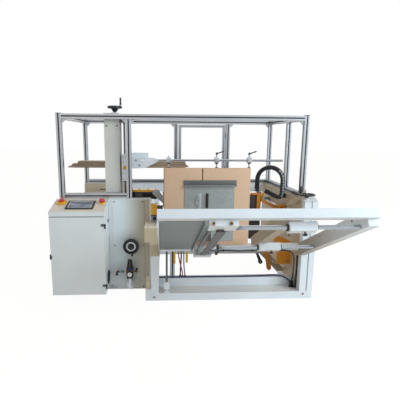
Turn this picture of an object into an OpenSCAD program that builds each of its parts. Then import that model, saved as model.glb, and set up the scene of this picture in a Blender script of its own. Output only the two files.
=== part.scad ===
// Case erector: control cabinet, discharge section with a crank-set press head,
// erecting section with an inclined blank magazine, and a guard of slotted profile.
// x runs from the left end, y from the guard's front (minus is towards the operator), z from the floor.

/* [Guard] */
// length of the guard along the machine
guard_l = 1960; // [1900:10:1980]
// depth of the guard, front to rear
guard_d = 970; // [900:10:1100]
// height of the guard's top above the floor
guard_top = 1430; // [1380:10:1430]
// side of the square guard profile
profile = 40; // [36:1:45]
// width of the slot in the profile
slot_w = 8; // [6:0.5:10]
// depth of the slot in the profile
slot_d = 6; // [4:0.5:9]
// distance of the guard from the machine's left end
guard_inset = 20; // [10:1:40]
// left face of the front middle post
mid_post_x = 546; // [530:1:560]
// left face of the rear post on the latch side of the door
latch_post_x = 949; // [900:1:1000]
// clear width of the rear door bay
door_bay = 502; // [450:1:560]
// front face of the middle post in the right side
side_post_y = 380; // [300:1:600]
// side of the door's own profile
door_profile = 30; // [25:1:36]
// gap around the door
door_gap = 6; // [5:0.5:10]
// diameter of the guard door's hinge barrels
barrel_d = 14; // [12:1:16]
// height of one half of a guard door hinge
hinge_h = 25; // [20:1:30]
// height of the guard door's lower hinge above its rail
hinge_up = 90; // [70:1:120]
// leg of the corner gussets
gusset = 34; // [24:1:40]

/* [Base] */
// side of the base tubes
tube = 60; // [50:1:70]
// height of the sills under the guard
sill_top = 778; // [760:1:778]
// height of one sill
sill_h = 88; // [70:1:100]
// distance of the base's front before the guard
base_front = 190; // [170:1:220]
// left face of the erecting section's left post
post_x = 736; // [720:1:745]
// height of the left post
post_h = 473; // [460:1:520]
// length of the foot beside the left post
foot_w = 43; // [30:1:50]
// height of that foot
foot_h = 95; // [80:1:110]
// height of the box on that foot
foot_box_h = 86; // [60:1:100]
// clear width between the left post and the right column
bay_w = 1111; // [1090:1:1120]
// width of the right column with its side member
column_w = 103; // [95:1:120]
// height of the right column
column_h = 806; // [790:1:820]
// place of the seam in the right column's front
seam_x = 52; // [40:1:60]
// width of that seam
seam_w = 9; // [6:1:12]
// thickness of the right side wall
wall_t = 70; // [60:1:80]
// top of the cross bar that the blanks stand on
bar_top = 445; // [435:1:455]
// height of that cross bar
bar_h = 46; // [40:1:56]
// depth of that cross bar
bar_d = 50; // [46:1:60]
// depth of the tray behind the front beam
tray_d = 70; // [50:1:100]
// thickness of sheet pieces
sheet = 4; // [3:0.5:5]
// height of the beam behind the tray
riser_h = 130; // [110:1:150]

/* [Left housing] */
// distance of the front panel before the guard
panel_front = 8; // [6:1:20]
// width of the front panel
panel_w = 290; // [280:1:300]
// height of the front panel's underside
panel_low = 20; // [10:1:40]
// height of the side cover on the left post
cover_h = 119; // [100:1:150]
// width of the side cover
cover_w = 106; // [90:1:110]
// height of the cover's apron down the post
apron_h = 109; // [80:1:140]
// radius of the cover's top edge
cover_r = 12; // [6:1:20]
// distance of the front panel from the cabinet
panel_off = 32; // [26:1:32]
// gap between the cabinet and the housing's step
step_gap = 2; // [1:0.5:4]
// height of the slotted bracket beside the cover
slot_plate_h = 105; // [90:1:120]
// how far that bracket reaches down behind the cover
slot_plate_low = 50; // [40:1:60]

/* [Cabinet] */
// width of the control cabinet
cabinet_w = 398; // [380:1:400]
// depth of the cabinet before the guard
cabinet_d = 230; // [200:1:250]
// height of the cabinet's underside
cabinet_z = 77; // [65:1:100]
// height of the console's front edge
console_front = 720; // [700:1:735]
// height of the console's rear edge
console_rear = 776; // [760:1:778]
// sheet of the cabinet
cabinet_t = 3; // [2:0.5:4]
// height of the fixed lip over the door
lip_h = 36; // [30:1:50]
// depth of the cabinet door's pan
cab_door_t = 20; // [16:1:26]
// gap over the cabinet door
door_gap_z = 5; // [5:0.5:8]
// diameter of the cabinet hinges' barrels
cab_barrel_d = 12; // [8:1:14]
// height of one half of a cabinet hinge
cab_hinge_h = 17; // [12:1:24]
// length of the cabinet hinges' leaves
cab_leaf = 24; // [18:1:30]
// distance of the lower cabinet hinge from the door's underside
cab_hinge_in = 46; // [40:1:80]
// place of the screen's middle along the console
screen_x = 209; // [190:1:215]
// place of the screen's lower edge up the console
screen_s = 40; // [30:1:50]
// place of the switches up the console
control_s = 150; // [130:1:160]
// width of the console screen's bezel
screen_w = 206; // [180:1:220]
// depth of the console screen's bezel
screen_h = 148; // [130:1:160]
// thickness of the console screen's bezel
screen_t = 7; // [5:1:10]
// side of the main switch's base
switch_w = 60; // [50:1:66]
// diameter of the main switch's knob
switch_d = 44; // [36:1:48]
// diameter of the stop button's collar
stop_d = 48; // [40:1:54]
// height of the side switch
rocker_h = 32; // [24:1:40]
// diameter of the side vent
vent_d = 110; // [90:1:120]
// thickness of the side vent and the side switch
vent_t = 6; // [4:1:8]

/* [Press head] */
// left face of the head column
head_col_x = 372; // [350:1:380]
// width of the head column
head_col_w = 118; // [100:1:120]
// front face of the head column
head_col_y = 60; // [52:1:70]
// depth of the head column
head_col_d = 120; // [100:1:130]
// top of the head column
head_col_top = 1440; // [1436:1:1460]
// thickness of the guide rail on the column
rail_t = 10; // [8:1:14]
// width of the guide rail on the column
rail_w = 30; // [24:1:36]
// diameter of the lift screw
lift_d = 16; // [12:1:20]
// height of the lift screw's bearing blocks
bearing_h = 40; // [30:1:50]
// width of the head carriage
carriage_w = 50; // [44:1:56]
// height of the head carriage
carriage_h = 215; // [190:1:240]
// length of the head bracket's plate
bracket_l = 200; // [180:1:220]
// height of the head bracket's plate
bracket_h = 84; // [70:1:100]
// side of the cross rod's holder
holder = 40; // [34:1:46]
// diameter of the head's cross rod
rod_d = 18; // [14:1:22]
// height of the cross rod
rod_z = 1070; // [1050:1:1090]
// right end of the cross rod
rod_end = 1830; // [1700:1:1840]
// width of a rod clamp
clamp_w = 36; // [30:1:42]
// places of the clamps from the rod's left end
clamp_at = [88, 485, 758];
// length of a clamp's lever
lever_h = 70; // [50:1:80]
// distance of the lift screw behind the column's front
screw_off = 40; // [36:1:44]
// distance of the head bracket behind the lift screw
bracket_off = 26; // [22:1:30]
// thickness of the head bracket
bracket_t = 6; // [5:0.5:8]
// distance of the ski's left end from the guard's outside
ski_in = 8; // [4:1:20]
// distance of the ski behind the column
ski_off = 90; // [70:1:100]
// length of the top crank's handle
crank_handle = 66; // [50:1:70]
// running gap of slides on their guides
run_gap = 0.5; // [0.3:0.1:0.8]
// length of the press ski
ski_l = 1030; // [900:1:1040]
// width of the press ski
ski_w = 120; // [90:1:140]
// thickness of the press ski
ski_t = 56; // [46:1:60]
// diameter of the top crank's wheel
crank_d = 116; // [90:1:120]
// thickness of the top crank's wheel
crank_t = 20; // [14:1:24]

/* [Discharge drive] */
// height of the belt plate over the deck
belt_up = 116; // [110:1:130]
// thickness of the belt plate
belt_plate_t = 32; // [24:1:36]
// depth of the belt plate
belt_plate_d = 54; // [46:1:60]
// height of the belt
belt_h = 46; // [36:1:46]
// diameter of the belt's loop at its pulleys
belt_d = 36; // [30:1:42]
// thickness of the belt
belt_t = 5; // [3:0.5:6]
// side of the belt motor
motor_w = 80; // [70:1:90]
// diameter of the motor's end
motor_d = 64; // [54:1:70]
// length of the motor's end
motor_l = 44; // [36:1:50]
// reach of the sheet wing past the left post
wing_l = 50; // [40:1:56]
// drop of the sheet wing's tip below the belt plate
wing_h = 96; // [80:1:100]
// width of the sheet wing's tip
wing_tip = 50; // [40:1:60]

/* [Magazine] */
// tilt of the magazine
mag_tilt = 27.5; // [26:0.5:29]
// distance of the front bar's middle before the guard
mag_reach = 1036; // [980:1:1060]
// height of the front bar's middle
mag_z = 874; // [860:1:890]
// side of the magazine tube
mag_tube = 50; // [45:1:55]
// depth of the right arm and the left plate
arm_h = 90; // [80:1:100]
// width of the right arm
arm_w = 60; // [50:1:66]
// thickness of the left plate
plate_t = 9; // [6:1:12]
// width of the bed sheet
bed_w = 236; // [200:1:240]
// thickness of the bed sheet
bed_t = 3; // [2:0.5:4]
// height of the bed sheet's flange
bed_lip = 24; // [16:1:30]
// diameter of the guide rods
guide_d = 22; // [18:1:26]
// spacing of the guide rods
guide_gap = 90; // [80:1:100]
// diameter of the cross rods
cross_d = 25; // [20:1:28]
// distance of the upper cross rod behind the front bar
upper_y = 80; // [75:1:100]
// distance of the lower cross rod behind the front bar
lower_y = 690; // [600:1:700]
// length of a slider block along its rod
block_l = 150; // [120:1:160]
// depth of a slider block
block_d = 60; // [50:1:70]
// height of a slider block
block_h = 50; // [44:1:50]
// length of the front rod bracket
front_block_y = 110; // [100:1:130]
// width of the strip between the guide rods
strip_w = 40; // [30:1:50]
// thickness of that strip
strip_t = 6; // [4:1:8]
// width of the guide plate's foot
plate_w = 60; // [50:1:70]
// height of the guide plate over the bed
plate_h = 80; // [60:1:90]
// distance of the first guide rod from the bed
guide_off = 40; // [36:1:50]
// how far the trolley and the rod brackets reach past the guide rods
trolley_over = 20; // [18:1:22]
// thickness of the tie under the lower cross rod
tie_w = 12; // [8:1:14]

/* [Blanks] */
// width of the carton blanks
blank_w = 640; // [500:1:645]
// height of the carton blanks
blank_h = 590; // [450:1:620]
// thickness of the stack of blanks
stack_t = 44; // [20:1:46]
// distance of the slot from the blanks' left edge
cut_x = 278; // [200:1:300]
// width of the slot in the blanks
cut_w = 8; // [5:1:10]
// length of the slot in the blanks
cut_l = 130; // [100:1:150]
// distance of the blanks from the left post
blank_off = 44; // [30:1:60]
// gap between the blanks and the guide plate
blank_gap = 8; // [6:1:12]
// distance of the pusher plate from the blanks' left edge
pusher_off = 150; // [130:1:160]
// width of the pusher plate
pusher_w = 372; // [300:1:400]
// height of the pusher plate
pusher_h = 430; // [380:1:440]
// thickness of the pusher plate
pusher_t = 4; // [3:0.5:5]
// depth of the pusher plate's flange
flange_d = 26; // [20:1:32]
// length of the pusher's trolley
trolley_l = 46; // [40:1:56]
// height of the pusher's trolley
trolley_h = 34; // [30:1:38]
// thickness of the trolley's side plates
cheek_t = 6; // [4:1:8]

/* [Hand wheels] */
// diameter of the panel wheel and the column wheel
wheel_d = 126; // [110:1:140]
// thickness of the panel wheel
wheel_t = 18; // [14:1:22]
// height of the panel wheel's shaft
wheel_z = 397; // [390:1:420]
// diameter of the wheels' handles
handle_d = 18; // [14:1:22]
// length of the wheels' handles
handle_l = 60; // [45:1:64]
// diameter of the ring behind the panel wheel
boss_d = 60; // [50:1:70]
// diameter of the boss under the column wheel
column_boss_d = 36; // [32:1:44]

/* [Erecting mechanism] */
// height of the slide rod on the right wall
slide_z = 645; // [600:1:680]
// distance of the slide rod from the wall
slide_off = 40; // [36:1:50]
// front end of the slide rod's front block
slide_y = 60; // [40:1:90]
// length over the slide rod's blocks
slide_l = 660; // [600:1:700]
// length of a slide rod block
slide_block = 40; // [30:1:50]
// front face of the swing arm's hub
hub_y = 215; // [200:1:260]
// length of the swing arm's hub
hub_l = 90; // [70:1:110]
// side of the swing arm's hub
hub_w = 60; // [50:1:70]
// reach of the swing arm from its rod
arm_reach = 270; // [240:1:290]
// thickness of the swing arm
arm_t = 14; // [10:1:18]
// thickness of the fold plate and the lever
fold_t = 10; // [8:1:14]
// front face of the fold plate
fold_y = 45; // [30:1:60]
// height of the fold plate
fold_h = 280; // [240:1:300]
// width of the fold plate
fold_w = 170; // [150:1:190]
// height of the fold plate's underside
fold_z = 200; // [180:1:220]
// length of the fold lever
lever_l = 200; // [160:1:220]
// front face of the lower sheet guide
band_y = 210; // [190:1:230]
// reach of the lower sheet guide from the wall
band_l = 260; // [220:1:280]
// outer radius of the energy chain's loop
chain_r = 128; // [120:1:130]
// thickness of the energy chain
chain_t = 36; // [28:1:40]
// width of the energy chain
chain_w = 34; // [28:1:40]
// turn of the energy chain's loop towards the operator
chain_turn = 25; // [20:1:30]
// length of the energy chain's right limb
chain_drop = 140; // [120:1:150]
// distance of the energy chain's middle from the wall
chain_off = 130; // [126:1:150]
// diameter of the height screw
height_d = 16; // [12:1:20]
// width of the height screw's block
height_w = 44; // [36:1:50]
// height of the height screw's block
height_h = 85; // [70:1:100]
// distance of the height screw's block from the left post
height_off = 40; // [30:1:44]
// distance of the left unit's upright from the left post
upright_off = 90; // [86:1:100]
// height of the left unit's upright
upright_h = 430; // [380:1:460]
// length of the bars on that upright
unit_bar_l = 310; // [250:1:330]
// width of those bars
unit_bar_w = 16; // [12:1:18]
// length of the corner sheet's foot along the wall
corner_l = 105; // [90:1:120]
// depth of the corner sheet below the wall's top
corner_h = 43; // [30:1:60]
// height of the corner sheet's tip over the wall's top
corner_up = 82; // [60:1:90]
// reach of the corner sheet over the wall
corner_over = 50; // [40:1:60]

/* [Air unit] */
// diameter of the air unit's body
air_d = 56; // [48:1:60]
// length of the air unit's body
air_l = 90; // [80:1:100]
// height of the air unit's underside
air_z = 40; // [36:1:60]
// diameter of the air unit's bowl
bowl_d = 48; // [40:1:52]
// length of the air unit's bowl
bowl_l = 100; // [80:1:120]
// diameter of the regulator knob
knob_d = 42; // [34:1:46]
// height of the regulator knob
knob_h = 66; // [50:1:70]
// diameter of the air unit's fittings
fitting_d = 20; // [16:1:24]
// length over the air unit's fittings
fitting_l = 178; // [150:1:190]
// distance of the air unit beside the panel wheel's shaft
air_off = 10; // [0:1:20]

/* [Hidden] */
$fn = 32;
fit = 0.15;
seat = 0.3;
butt = 0.2;
post_r = post_x + tube;
col_x = post_r + bay_w;
total_l = col_x + column_w;
guard_x1 = guard_inset + guard_l;
wall_x = guard_x1 - wall_t;
y_front = -mag_reach - mag_tube / 2 * (cos(mag_tilt) + sin(mag_tilt));
y_rear = guard_d + barrel_d;
mid_x = total_l / 2;
mid_y = (y_rear + y_front) / 2;
deck_z = sill_top - sill_h;
rail_z = sill_top + profile;
shoulder_drop = 28;
shoulder_z = column_h - shoulder_drop;
column_wheel_x = col_x + seam_x / 2;
column_wheel_y = tube - base_front - column_boss_d / 2 - 2;
hinge_post_x = latch_post_x + profile + door_bay;
pin_x = hinge_post_x - door_gap / 2;
hinge_z = [rail_z + hinge_up, guard_top - profile - hinge_up - 2 * hinge_h];
cab_y = -cabinet_d;
door_top = console_front - lip_h;
cab_pin_x = cabinet_w + cab_barrel_d / 2;
cab_pin_y = cab_y - 1;
cab_hinge_z = [cabinet_z + cab_hinge_in, door_top - 2 * cab_hinge_in];
console_tilt = atan((console_rear - console_front) / cabinet_d);
panel_x = cabinet_w + panel_off;
step_x = cabinet_w + step_gap;
panel_y = -panel_front;
house_y = panel_y + sheet;
head_r = head_col_x + head_col_w;
carriage_x = head_r + rail_t + run_gap;
carriage_z = rod_z - carriage_h * 0.77;
screw_x = carriage_x + carriage_w / 2;
screw_y = head_col_y + screw_off;
bracket_y = screw_y + bracket_off;
bracket_x = carriage_x + carriage_w;
rod_x0 = bracket_x + bracket_l + holder;
rod_y0 = bracket_y + holder / 2;
rod_l = rod_end - rod_x0;
clamp_x = [for (d = clamp_at) rod_x0 + d];
clamp_low = clamp_w * 0.55;
clamp_up = clamp_w * 0.67;
ski_x = guard_inset + ski_in;
ski_y = head_col_y + head_col_d + ski_off;
ski_z = rod_z - rod_d;
crank_x = head_col_x + crank_d * 0.69;
crank_y = head_col_y + head_col_d / 2;
belt_x0 = mid_post_x + belt_d * 1.1;
belt_x1 = post_r - belt_d * 0.85;
arm_x = guard_x1 - profile - arm_w;
mag_end = (mag_reach - base_front) / cos(mag_tilt);
mag_low = -mag_tube / 2;
guide_x = post_r + plate_t + bed_w + guide_off;
guide_n = mag_low - trolley_h * 0.6;
cross_n = mag_low - block_h / 2;
rod_bracket_x0 = guide_x - trolley_over;
rod_bracket_x1 = guide_x + guide_gap + 2 * trolley_over;
rear_block_y = mag_end - block_d;
strip_n = guide_n - guide_d / 2 - 2 * strip_t;
front_low = guide_n - guide_d / 2 - 2;
blank_x = post_r + blank_off;
blank_y = -base_front;
guide_plate_x = blank_x + blank_w + blank_gap;
pusher_x = blank_x + pusher_off;
pusher_y = blank_y - run_gap - pusher_t;
pusher_z = bar_top + trolley_h;
trolley_y = mag_end - 2 * block_d;
trolley_top = guide_n + trolley_h / 2;
wheel_x = panel_x + panel_w / 2;
wheel_y = panel_y - 3 * wheel_t;
slide_x = wall_x - slide_off;
chain_x = wall_x - chain_off;
chain_y = hub_y + 2.5 * chain_w;
chain_z = sill_top + chain_drop * 0.8;
lever_x = wall_x - band_l * 0.7;
lever_top = fold_z + lever_l * 0.4;
upright_x = post_r + upright_off;
upright_y = -profile - fold_t;
air_x = wheel_x - air_off;
air_y = panel_y - air_d;

module at(p) translate([p[0] - mid_x, p[1] - mid_y, p[2]]) children();

module box(lo, hi) at(lo) cube([hi[0] - lo[0], hi[1] - lo[1], hi[2] - lo[2]]);

module plan(points, z0, z1) at([0, 0, z0]) linear_extrude(z1 - z0) polygon(points);

// an outline in x and z, standing from y0 back to y1
module upright(y0, y1) at([0, y1, 0]) rotate([90, 0, 0]) linear_extrude(y1 - y0) children();

// an outline in y and z, running from x0 to x1
module along(x0, x1) at([x0, 0, 0]) rotate([90, 0, 90]) linear_extrude(x1 - x0) children();

module bar_x(p, d, l) at(p) rotate([0, 90, 0]) cylinder(d = d, h = l);

module bar_y(p, d, l) at(p) rotate([-90, 0, 0]) cylinder(d = d, h = l);

module bar_z(p, d, l) at(p) cylinder(d = d, h = l);

// the magazine's own frame: y runs down the tilt from the front bar, z stands square to the bed
module mag() at([0, -mag_reach, mag_z]) rotate([-mag_tilt, 0, 0]) children();

module mag_box(lo, hi) mag() translate(lo) cube([hi[0] - lo[0], hi[1] - lo[1], hi[2] - lo[2]]);

// a magazine point as y and z of the machine
function mag_point(y, n) = [-mag_reach + y * cos(mag_tilt) + n * sin(mag_tilt),
    mag_z - y * sin(mag_tilt) + n * cos(mag_tilt)];

// what lies behind the base's front, to trim the magazine's ends flush with it
module behind_front() box([0, -base_front, 0], [total_l, guard_d, guard_top]);

// a place on the console's slope, s up from its front edge
module console(x, s) at([x, cab_y, console_front]) rotate([console_tilt, 0, 0])
    translate([0, s, 0]) children();

module slotted(w) difference() {
    square(w);
    for (a = [0:90:270])
        translate([w / 2, w / 2]) rotate(a) translate([-slot_w / 2, w / 2 - slot_d])
            square([slot_w, slot_d + 1]);
}

module profile_x(p, l) at(p) rotate([90, 0, 90]) linear_extrude(l) slotted(profile);

module profile_y(p, l) at([p[0], p[1] + l, p[2]]) rotate([90, 0, 0]) linear_extrude(l) slotted(profile);

module profile_z(p, l) at(p) linear_extrude(l) slotted(profile);

module base_frame() color("white") {
    rear = guard_d - tube;
    box([post_x, -base_front, 0], [total_l, tube - base_front, tube]);
    box([post_x - foot_w, -base_front, 0], [post_x, tube - base_front, foot_h]);
    box([post_x, -base_front, tube], [post_r, tube - base_front, post_h]);
    difference() {
        at([col_x, -base_front, 0]) linear_extrude(column_h) difference() {
            square([column_w, tube]);
            translate([seam_x, -1]) square([seam_w, tube / 3 + 1]);
        }
        along(col_x - 1, total_l + 1) polygon([[-base_front - 1, column_h - tube / 2],
            [tube - base_front, column_h + 1], [-base_front - 1, column_h + 1]]);
    }
    bar_z([column_wheel_x, column_wheel_y, column_h - tube / 2], column_boss_d, tube / 2);
    box([post_x, tube - base_front, 0], [post_r, guard_d, tube]);
    box([wall_x, tube - base_front, 0], [guard_x1, guard_d, tube]);
    box([guard_inset, rear, 0], [wall_x, guard_d, tube]);
    box([guard_inset, profile, 0], [post_x, profile + tube, tube]);
    box([guard_inset, profile + tube, 0], [guard_inset + tube, rear, tube]);
    for (x = [guard_inset, post_x]) box([x, rear, tube], [x + tube, guard_d, deck_z]);
    box([guard_inset, rear, deck_z], [wall_x - seat, guard_d, sill_top]);
    box([post_r, blank_y, bar_top - bar_h], [col_x, blank_y + bar_d, bar_top]);
}

module base_tray() color("white") {
    y0 = tube - base_front;
    y1 = y0 + tray_d;
    along(post_r, wall_x) polygon([[y0, tube - sheet], [y1, tube - sheet], [y1, 0], [y1 + tube, 0],
        [y1 + tube, riser_h], [y1, riser_h], [y1, tube], [y0, tube]]);
}

module left_housing() color("white") {
    right = post_x - seat;
    rear = guard_d - tube - seat;
    front = [[guard_inset, 0], [step_x, 0], [step_x, house_y], [right, house_y]];
    plan(concat(front, [[right, rear], [guard_inset, rear]]), tube + seat, deck_z);
    plan(concat(front, [[right, profile], [guard_inset, profile]]), deck_z, sill_top - seat);
}

module front_panel() color("white")
    box([panel_x, panel_y, panel_low], [panel_x + panel_w, house_y, sill_top - 2 * sheet]);

module side_cover() color("beige") {
    front = -base_front - sheet;
    depth = panel_y - front;
    along(post_r - cover_w, post_r) union() {
        translate([front, post_h]) square([depth, cover_h - cover_r]);
        translate([front + cover_r, post_h]) square([depth - cover_r, cover_h]);
        translate([front + cover_r, post_h + cover_h - cover_r]) circle(r = cover_r);
    }
    plan([[post_x - sheet, front], [post_r, front], [post_r, -base_front], [post_x, -base_front],
        [post_x, tube - base_front], [post_x - sheet, tube - base_front]], post_h - apron_h, post_h);
    box([post_x - foot_w + sheet, -base_front, foot_h + seat],
        [post_x - sheet, tube - base_front, foot_h + foot_box_h]);
}

module right_wall() color("beige") {
    front = tube - base_front + seat;
    low = tube + seat;
    along(wall_x, guard_x1) polygon([[front, low], [guard_d, low], [guard_d, sill_top], [0, sill_top],
        [0, shoulder_z], [front, shoulder_z]]);
}

module guard_frame() color("silver") {
    x0 = guard_inset + profile + butt;
    x1 = guard_x1 - profile - butt;
    rear = guard_d - profile;
    top_z = guard_top - profile;
    post_l = top_z - butt - sill_top;
    side_y = profile + butt;
    side_l = guard_d - 2 * side_y;
    for (x = [guard_inset, guard_x1 - profile], y = [0, rear])
        profile_z([x, y, sill_top], guard_top - sill_top);
    profile_z([mid_post_x, 0, sill_top], post_l);
    for (x = [latch_post_x, hinge_post_x]) profile_z([x, rear, sill_top], post_l);
    profile_z([guard_x1 - profile, side_post_y, rail_z + butt], post_l - profile - butt);
    for (y = [0, rear]) profile_x([x0, y, top_z], x1 - x0);
    for (x = [guard_inset, guard_x1 - profile]) profile_y([x, side_y, top_z], side_l);
    profile_x([x0, 0, sill_top], mid_post_x - butt - x0);
    profile_x([x0, rear, sill_top], latch_post_x - butt - x0);
    profile_x([latch_post_x + profile + butt, rear, sill_top], door_bay - 2 * butt);
    profile_x([hinge_post_x + profile + butt, rear, sill_top], x1 - hinge_post_x - profile - butt);
    profile_y([guard_x1 - profile, side_y, sill_top], side_l);
}

// a gusset under a top rail, its upright leg on the post's side at x, reaching towards dir
module gusset_top(x, y, dir) upright(y + profile / 2 - slot_w, y + profile / 2 + slot_w)
    translate([x, guard_top - profile]) polygon([[0, 0], [dir * gusset, 0], [0, -gusset]]);

module corner_gussets() color("dimgray") {
    rear = guard_d - profile;
    for (y = [0, rear]) {
        gusset_top(guard_inset + profile, y, 1);
        gusset_top(guard_x1 - profile, y, -1);
    }
    for (d = [0, 1]) gusset_top(mid_post_x + d * profile, 0, 2 * d - 1);
    gusset_top(latch_post_x, rear, -1);
    gusset_top(hinge_post_x + profile, rear, 1);
}

// one half of a guard door hinge at height z, its leaf reaching from the pin to x
module hinge_half(x, z) {
    bar_z([pin_x, guard_d + barrel_d / 2, z], barrel_d, hinge_h);
    box([min(x, pin_x), guard_d, z], [max(x, pin_x), guard_d + sheet, z + hinge_h]);
}

module hinge_leaves() color("dimgray") {
    for (z = hinge_z) hinge_half(hinge_post_x + profile - sheet, z);
    for (z = cab_hinge_z) {
        bar_z([cab_pin_x, cab_pin_y, z], cab_barrel_d, cab_hinge_h);
        box([cabinet_w, cab_pin_y, z],
            [cabinet_w + cabinet_t, cab_y + cab_door_t + cab_leaf, z + cab_hinge_h]);
    }
}

module guard_door() color("silver") {
    x0 = latch_post_x + profile + door_gap;
    x1 = hinge_post_x - door_gap;
    z0 = rail_z + door_gap;
    z1 = guard_top - profile - door_gap;
    w = door_profile;
    upright(guard_d - door_profile, guard_d) difference() {
        translate([x0, z0]) square([x1 - x0, z1 - z0]);
        translate([x0 + w, z0 + w]) square([x1 - x0 - 2 * w, z1 - z0 - 2 * w]);
    }
    for (z = hinge_z) hinge_half(x1 - w + sheet, z + hinge_h + run_gap);
}

module cabinet_outline(in) polygon([[cab_y + in, cabinet_z + in], [-in, cabinet_z + in],
    [-in, console_rear - in], [cab_y + in, console_front - in]]);

module cabinet_shell() color("white") difference() {
    along(0, cabinet_w) cabinet_outline(0);
    along(cabinet_t, cabinet_w - cabinet_t) cabinet_outline(cabinet_t);
    box([-1, cab_y - 1, cabinet_z - 1], [cabinet_w + 1, cab_y + cab_door_t + run_gap, door_top]);
}

module cabinet_door() color("white") {
    right = cabinet_w - seat;
    top = door_top - door_gap_z;
    difference() {
        box([0, cab_y, cabinet_z], [right, cab_y + cab_door_t, top]);
        box([cabinet_t, cab_y + cabinet_t, cabinet_z + cabinet_t],
            [right - cabinet_t, cab_y + cab_door_t + 1, top - cabinet_t]);
    }
}

module door_knuckles() color("dimgray") for (z = cab_hinge_z) {
    z0 = z + cab_hinge_h + run_gap;
    bar_z([cab_pin_x, cab_pin_y, z0], cab_barrel_d, cab_hinge_h);
    box([cabinet_w - cab_leaf, cab_y - cabinet_t, z0], [cab_pin_x, cab_y, z0 + cab_hinge_h]);
}

module console_screen() color("dimgray") console(screen_x, screen_s)
    translate([-screen_w / 2, 0, 0]) cube([screen_w, screen_h, screen_t]);

module main_switch() color("red") console(switch_w, control_s) {
    translate([-switch_w / 2, -switch_w / 2, 0]) cube([switch_w, switch_w, screen_t]);
    translate([0, 0, screen_t]) cylinder(d = switch_d, h = 2 * screen_t);
    translate([-screen_t, -switch_d / 2, 3 * screen_t]) cube([2 * screen_t, switch_d, 2 * screen_t]);
}

module stop_button() color("red") console(cabinet_w - stop_d * 0.7, control_s) {
    cylinder(d = stop_d, h = stop_d * 0.2);
    translate([0, 0, stop_d * 0.2]) cylinder(d = stop_d * 0.58, h = stop_d * 0.3);
    translate([0, 0, stop_d * 0.5]) cylinder(d = stop_d * 0.84, h = stop_d * 0.25);
}

module side_switch() color("red") box([cabinet_w, cab_y + 2.8 * switch_w, console_front - 4 * rocker_h],
    [cabinet_w + vent_t, cab_y + 2.8 * switch_w + rocker_h * 0.9, console_front - 3 * rocker_h]);

module side_vent() color("dimgray")
    bar_x([cabinet_w, cab_y + vent_d * 1.2, cabinet_z + vent_d * 0.8], vent_d, vent_t);

module head_column() color("gainsboro") {
    rail_y = screw_y + rail_w * 0.8;
    box([head_col_x, head_col_y, deck_z], [head_r, head_col_y + head_col_d, head_col_top]);
    box([head_r, rail_y, deck_z + tube], [head_r + rail_t, rail_y + rail_w, head_col_top - tube]);
}

module lift_screw() color("dimgray") {
    top_z = head_col_top - 1.75 * bearing_h;
    bar_z([screw_x, screw_y, deck_z], lift_d, top_z + bearing_h * 0.75 - deck_z);
    for (z = [deck_z, top_z])
        box([head_r, screw_y - lift_d, z], [screw_x + lift_d, screw_y + lift_d, z + bearing_h]);
}

module head_carriage() color("silver") {
    y0 = screw_y - holder / 2;
    y1 = head_col_y + head_col_d;
    difference() {
        union() {
            box([carriage_x, y0, carriage_z], [bracket_x, y1, carriage_z + carriage_h]);
            box([carriage_x, y1, ski_z], [bracket_x, ski_y + ski_w / 2, ski_z + 2 * bracket_t]);
        }
        bar_z([screw_x, screw_y, carriage_z - 1], lift_d + 2 * run_gap, carriage_h + 2);
    }
}

module head_bracket() color("gainsboro") {
    top = rod_z + holder / 2;
    low = top - bracket_h;
    rear = bracket_y + holder;
    x1 = bracket_x + bracket_l;
    difference() {
        union() {
            upright(bracket_y, bracket_y + bracket_t) polygon([[bracket_x, low], [x1 - bracket_l / 3, low],
                [x1 + holder, rod_z - holder / 4], [x1 + holder, rod_z + holder / 4], [x1, top],
                [bracket_x, top]]);
            box([x1, bracket_y, rod_z - holder / 4], [x1 + holder, rear, rod_z + holder / 4]);
            box([bracket_x, bracket_y + bracket_t, top - 2 * bracket_t], [x1 - holder, rear, top]);
            box([bracket_x, rear - bracket_t, top], [x1 - holder, rear, top + holder]);
            box([bracket_x, bracket_y - holder / 2, low], [x1 - bracket_l / 2, bracket_y, low + bracket_t]);
        }
        for (i = [0:2])
            bar_y([x1 - bracket_l * (0.42 - 0.265 * i), bracket_y - 1, rod_z], rod_d * 0.6, bracket_t + 2);
    }
}

module head_rod() color("silver") bar_x([rod_x0, rod_y0, rod_z], rod_d, rod_l);

module rod_clamps() color("gainsboro") for (x = clamp_x) {
    difference() {
        box([x - clamp_w / 2, rod_y0 - clamp_up, rod_z - clamp_low],
            [x + clamp_w / 2, rod_y0 + clamp_up, rod_z + clamp_up]);
        bar_x([x - clamp_w, rod_y0, rod_z], rod_d + 2 * fit, 2 * clamp_w);
    }
    at([x, rod_y0, rod_z + clamp_up]) rotate([0, 35, 0]) translate([0, 0, -bracket_t])
        cylinder(d = rod_d / 2, h = lever_h);
}

module drop_rods() color("dimgray") for (x = clamp_x) {
    top = rod_z - clamp_low;
    bar_z([x, rod_y0, top - clamp_w], rod_d * 0.67, clamp_w);
    at([x, rod_y0, top - clamp_w * 1.45]) cylinder(d1 = rod_d * 0.45, d2 = rod_d, h = clamp_w * 0.45);
}

module press_ski() color("gray") {
    x1 = ski_x + ski_l;
    low = ski_z - ski_t;
    upright(ski_y, ski_y + ski_w) polygon([[ski_x, low + 2], [ski_x + ski_t, low], [x1 - ski_t, low],
        [x1, low + ski_t / 6], [x1 - ski_t / 2, low + ski_t / 2], [x1 - ski_t * 0.6, ski_z],
        [ski_x + ski_t * 1.5, ski_z], [ski_x + ski_t * 1.4, low + ski_t * 0.6],
        [ski_x + ski_t * 0.6, low + ski_t * 0.6],
        [ski_x + ski_t * 0.5, low + ski_t * 0.25], [ski_x, low + ski_t * 0.25]]);
}

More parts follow.
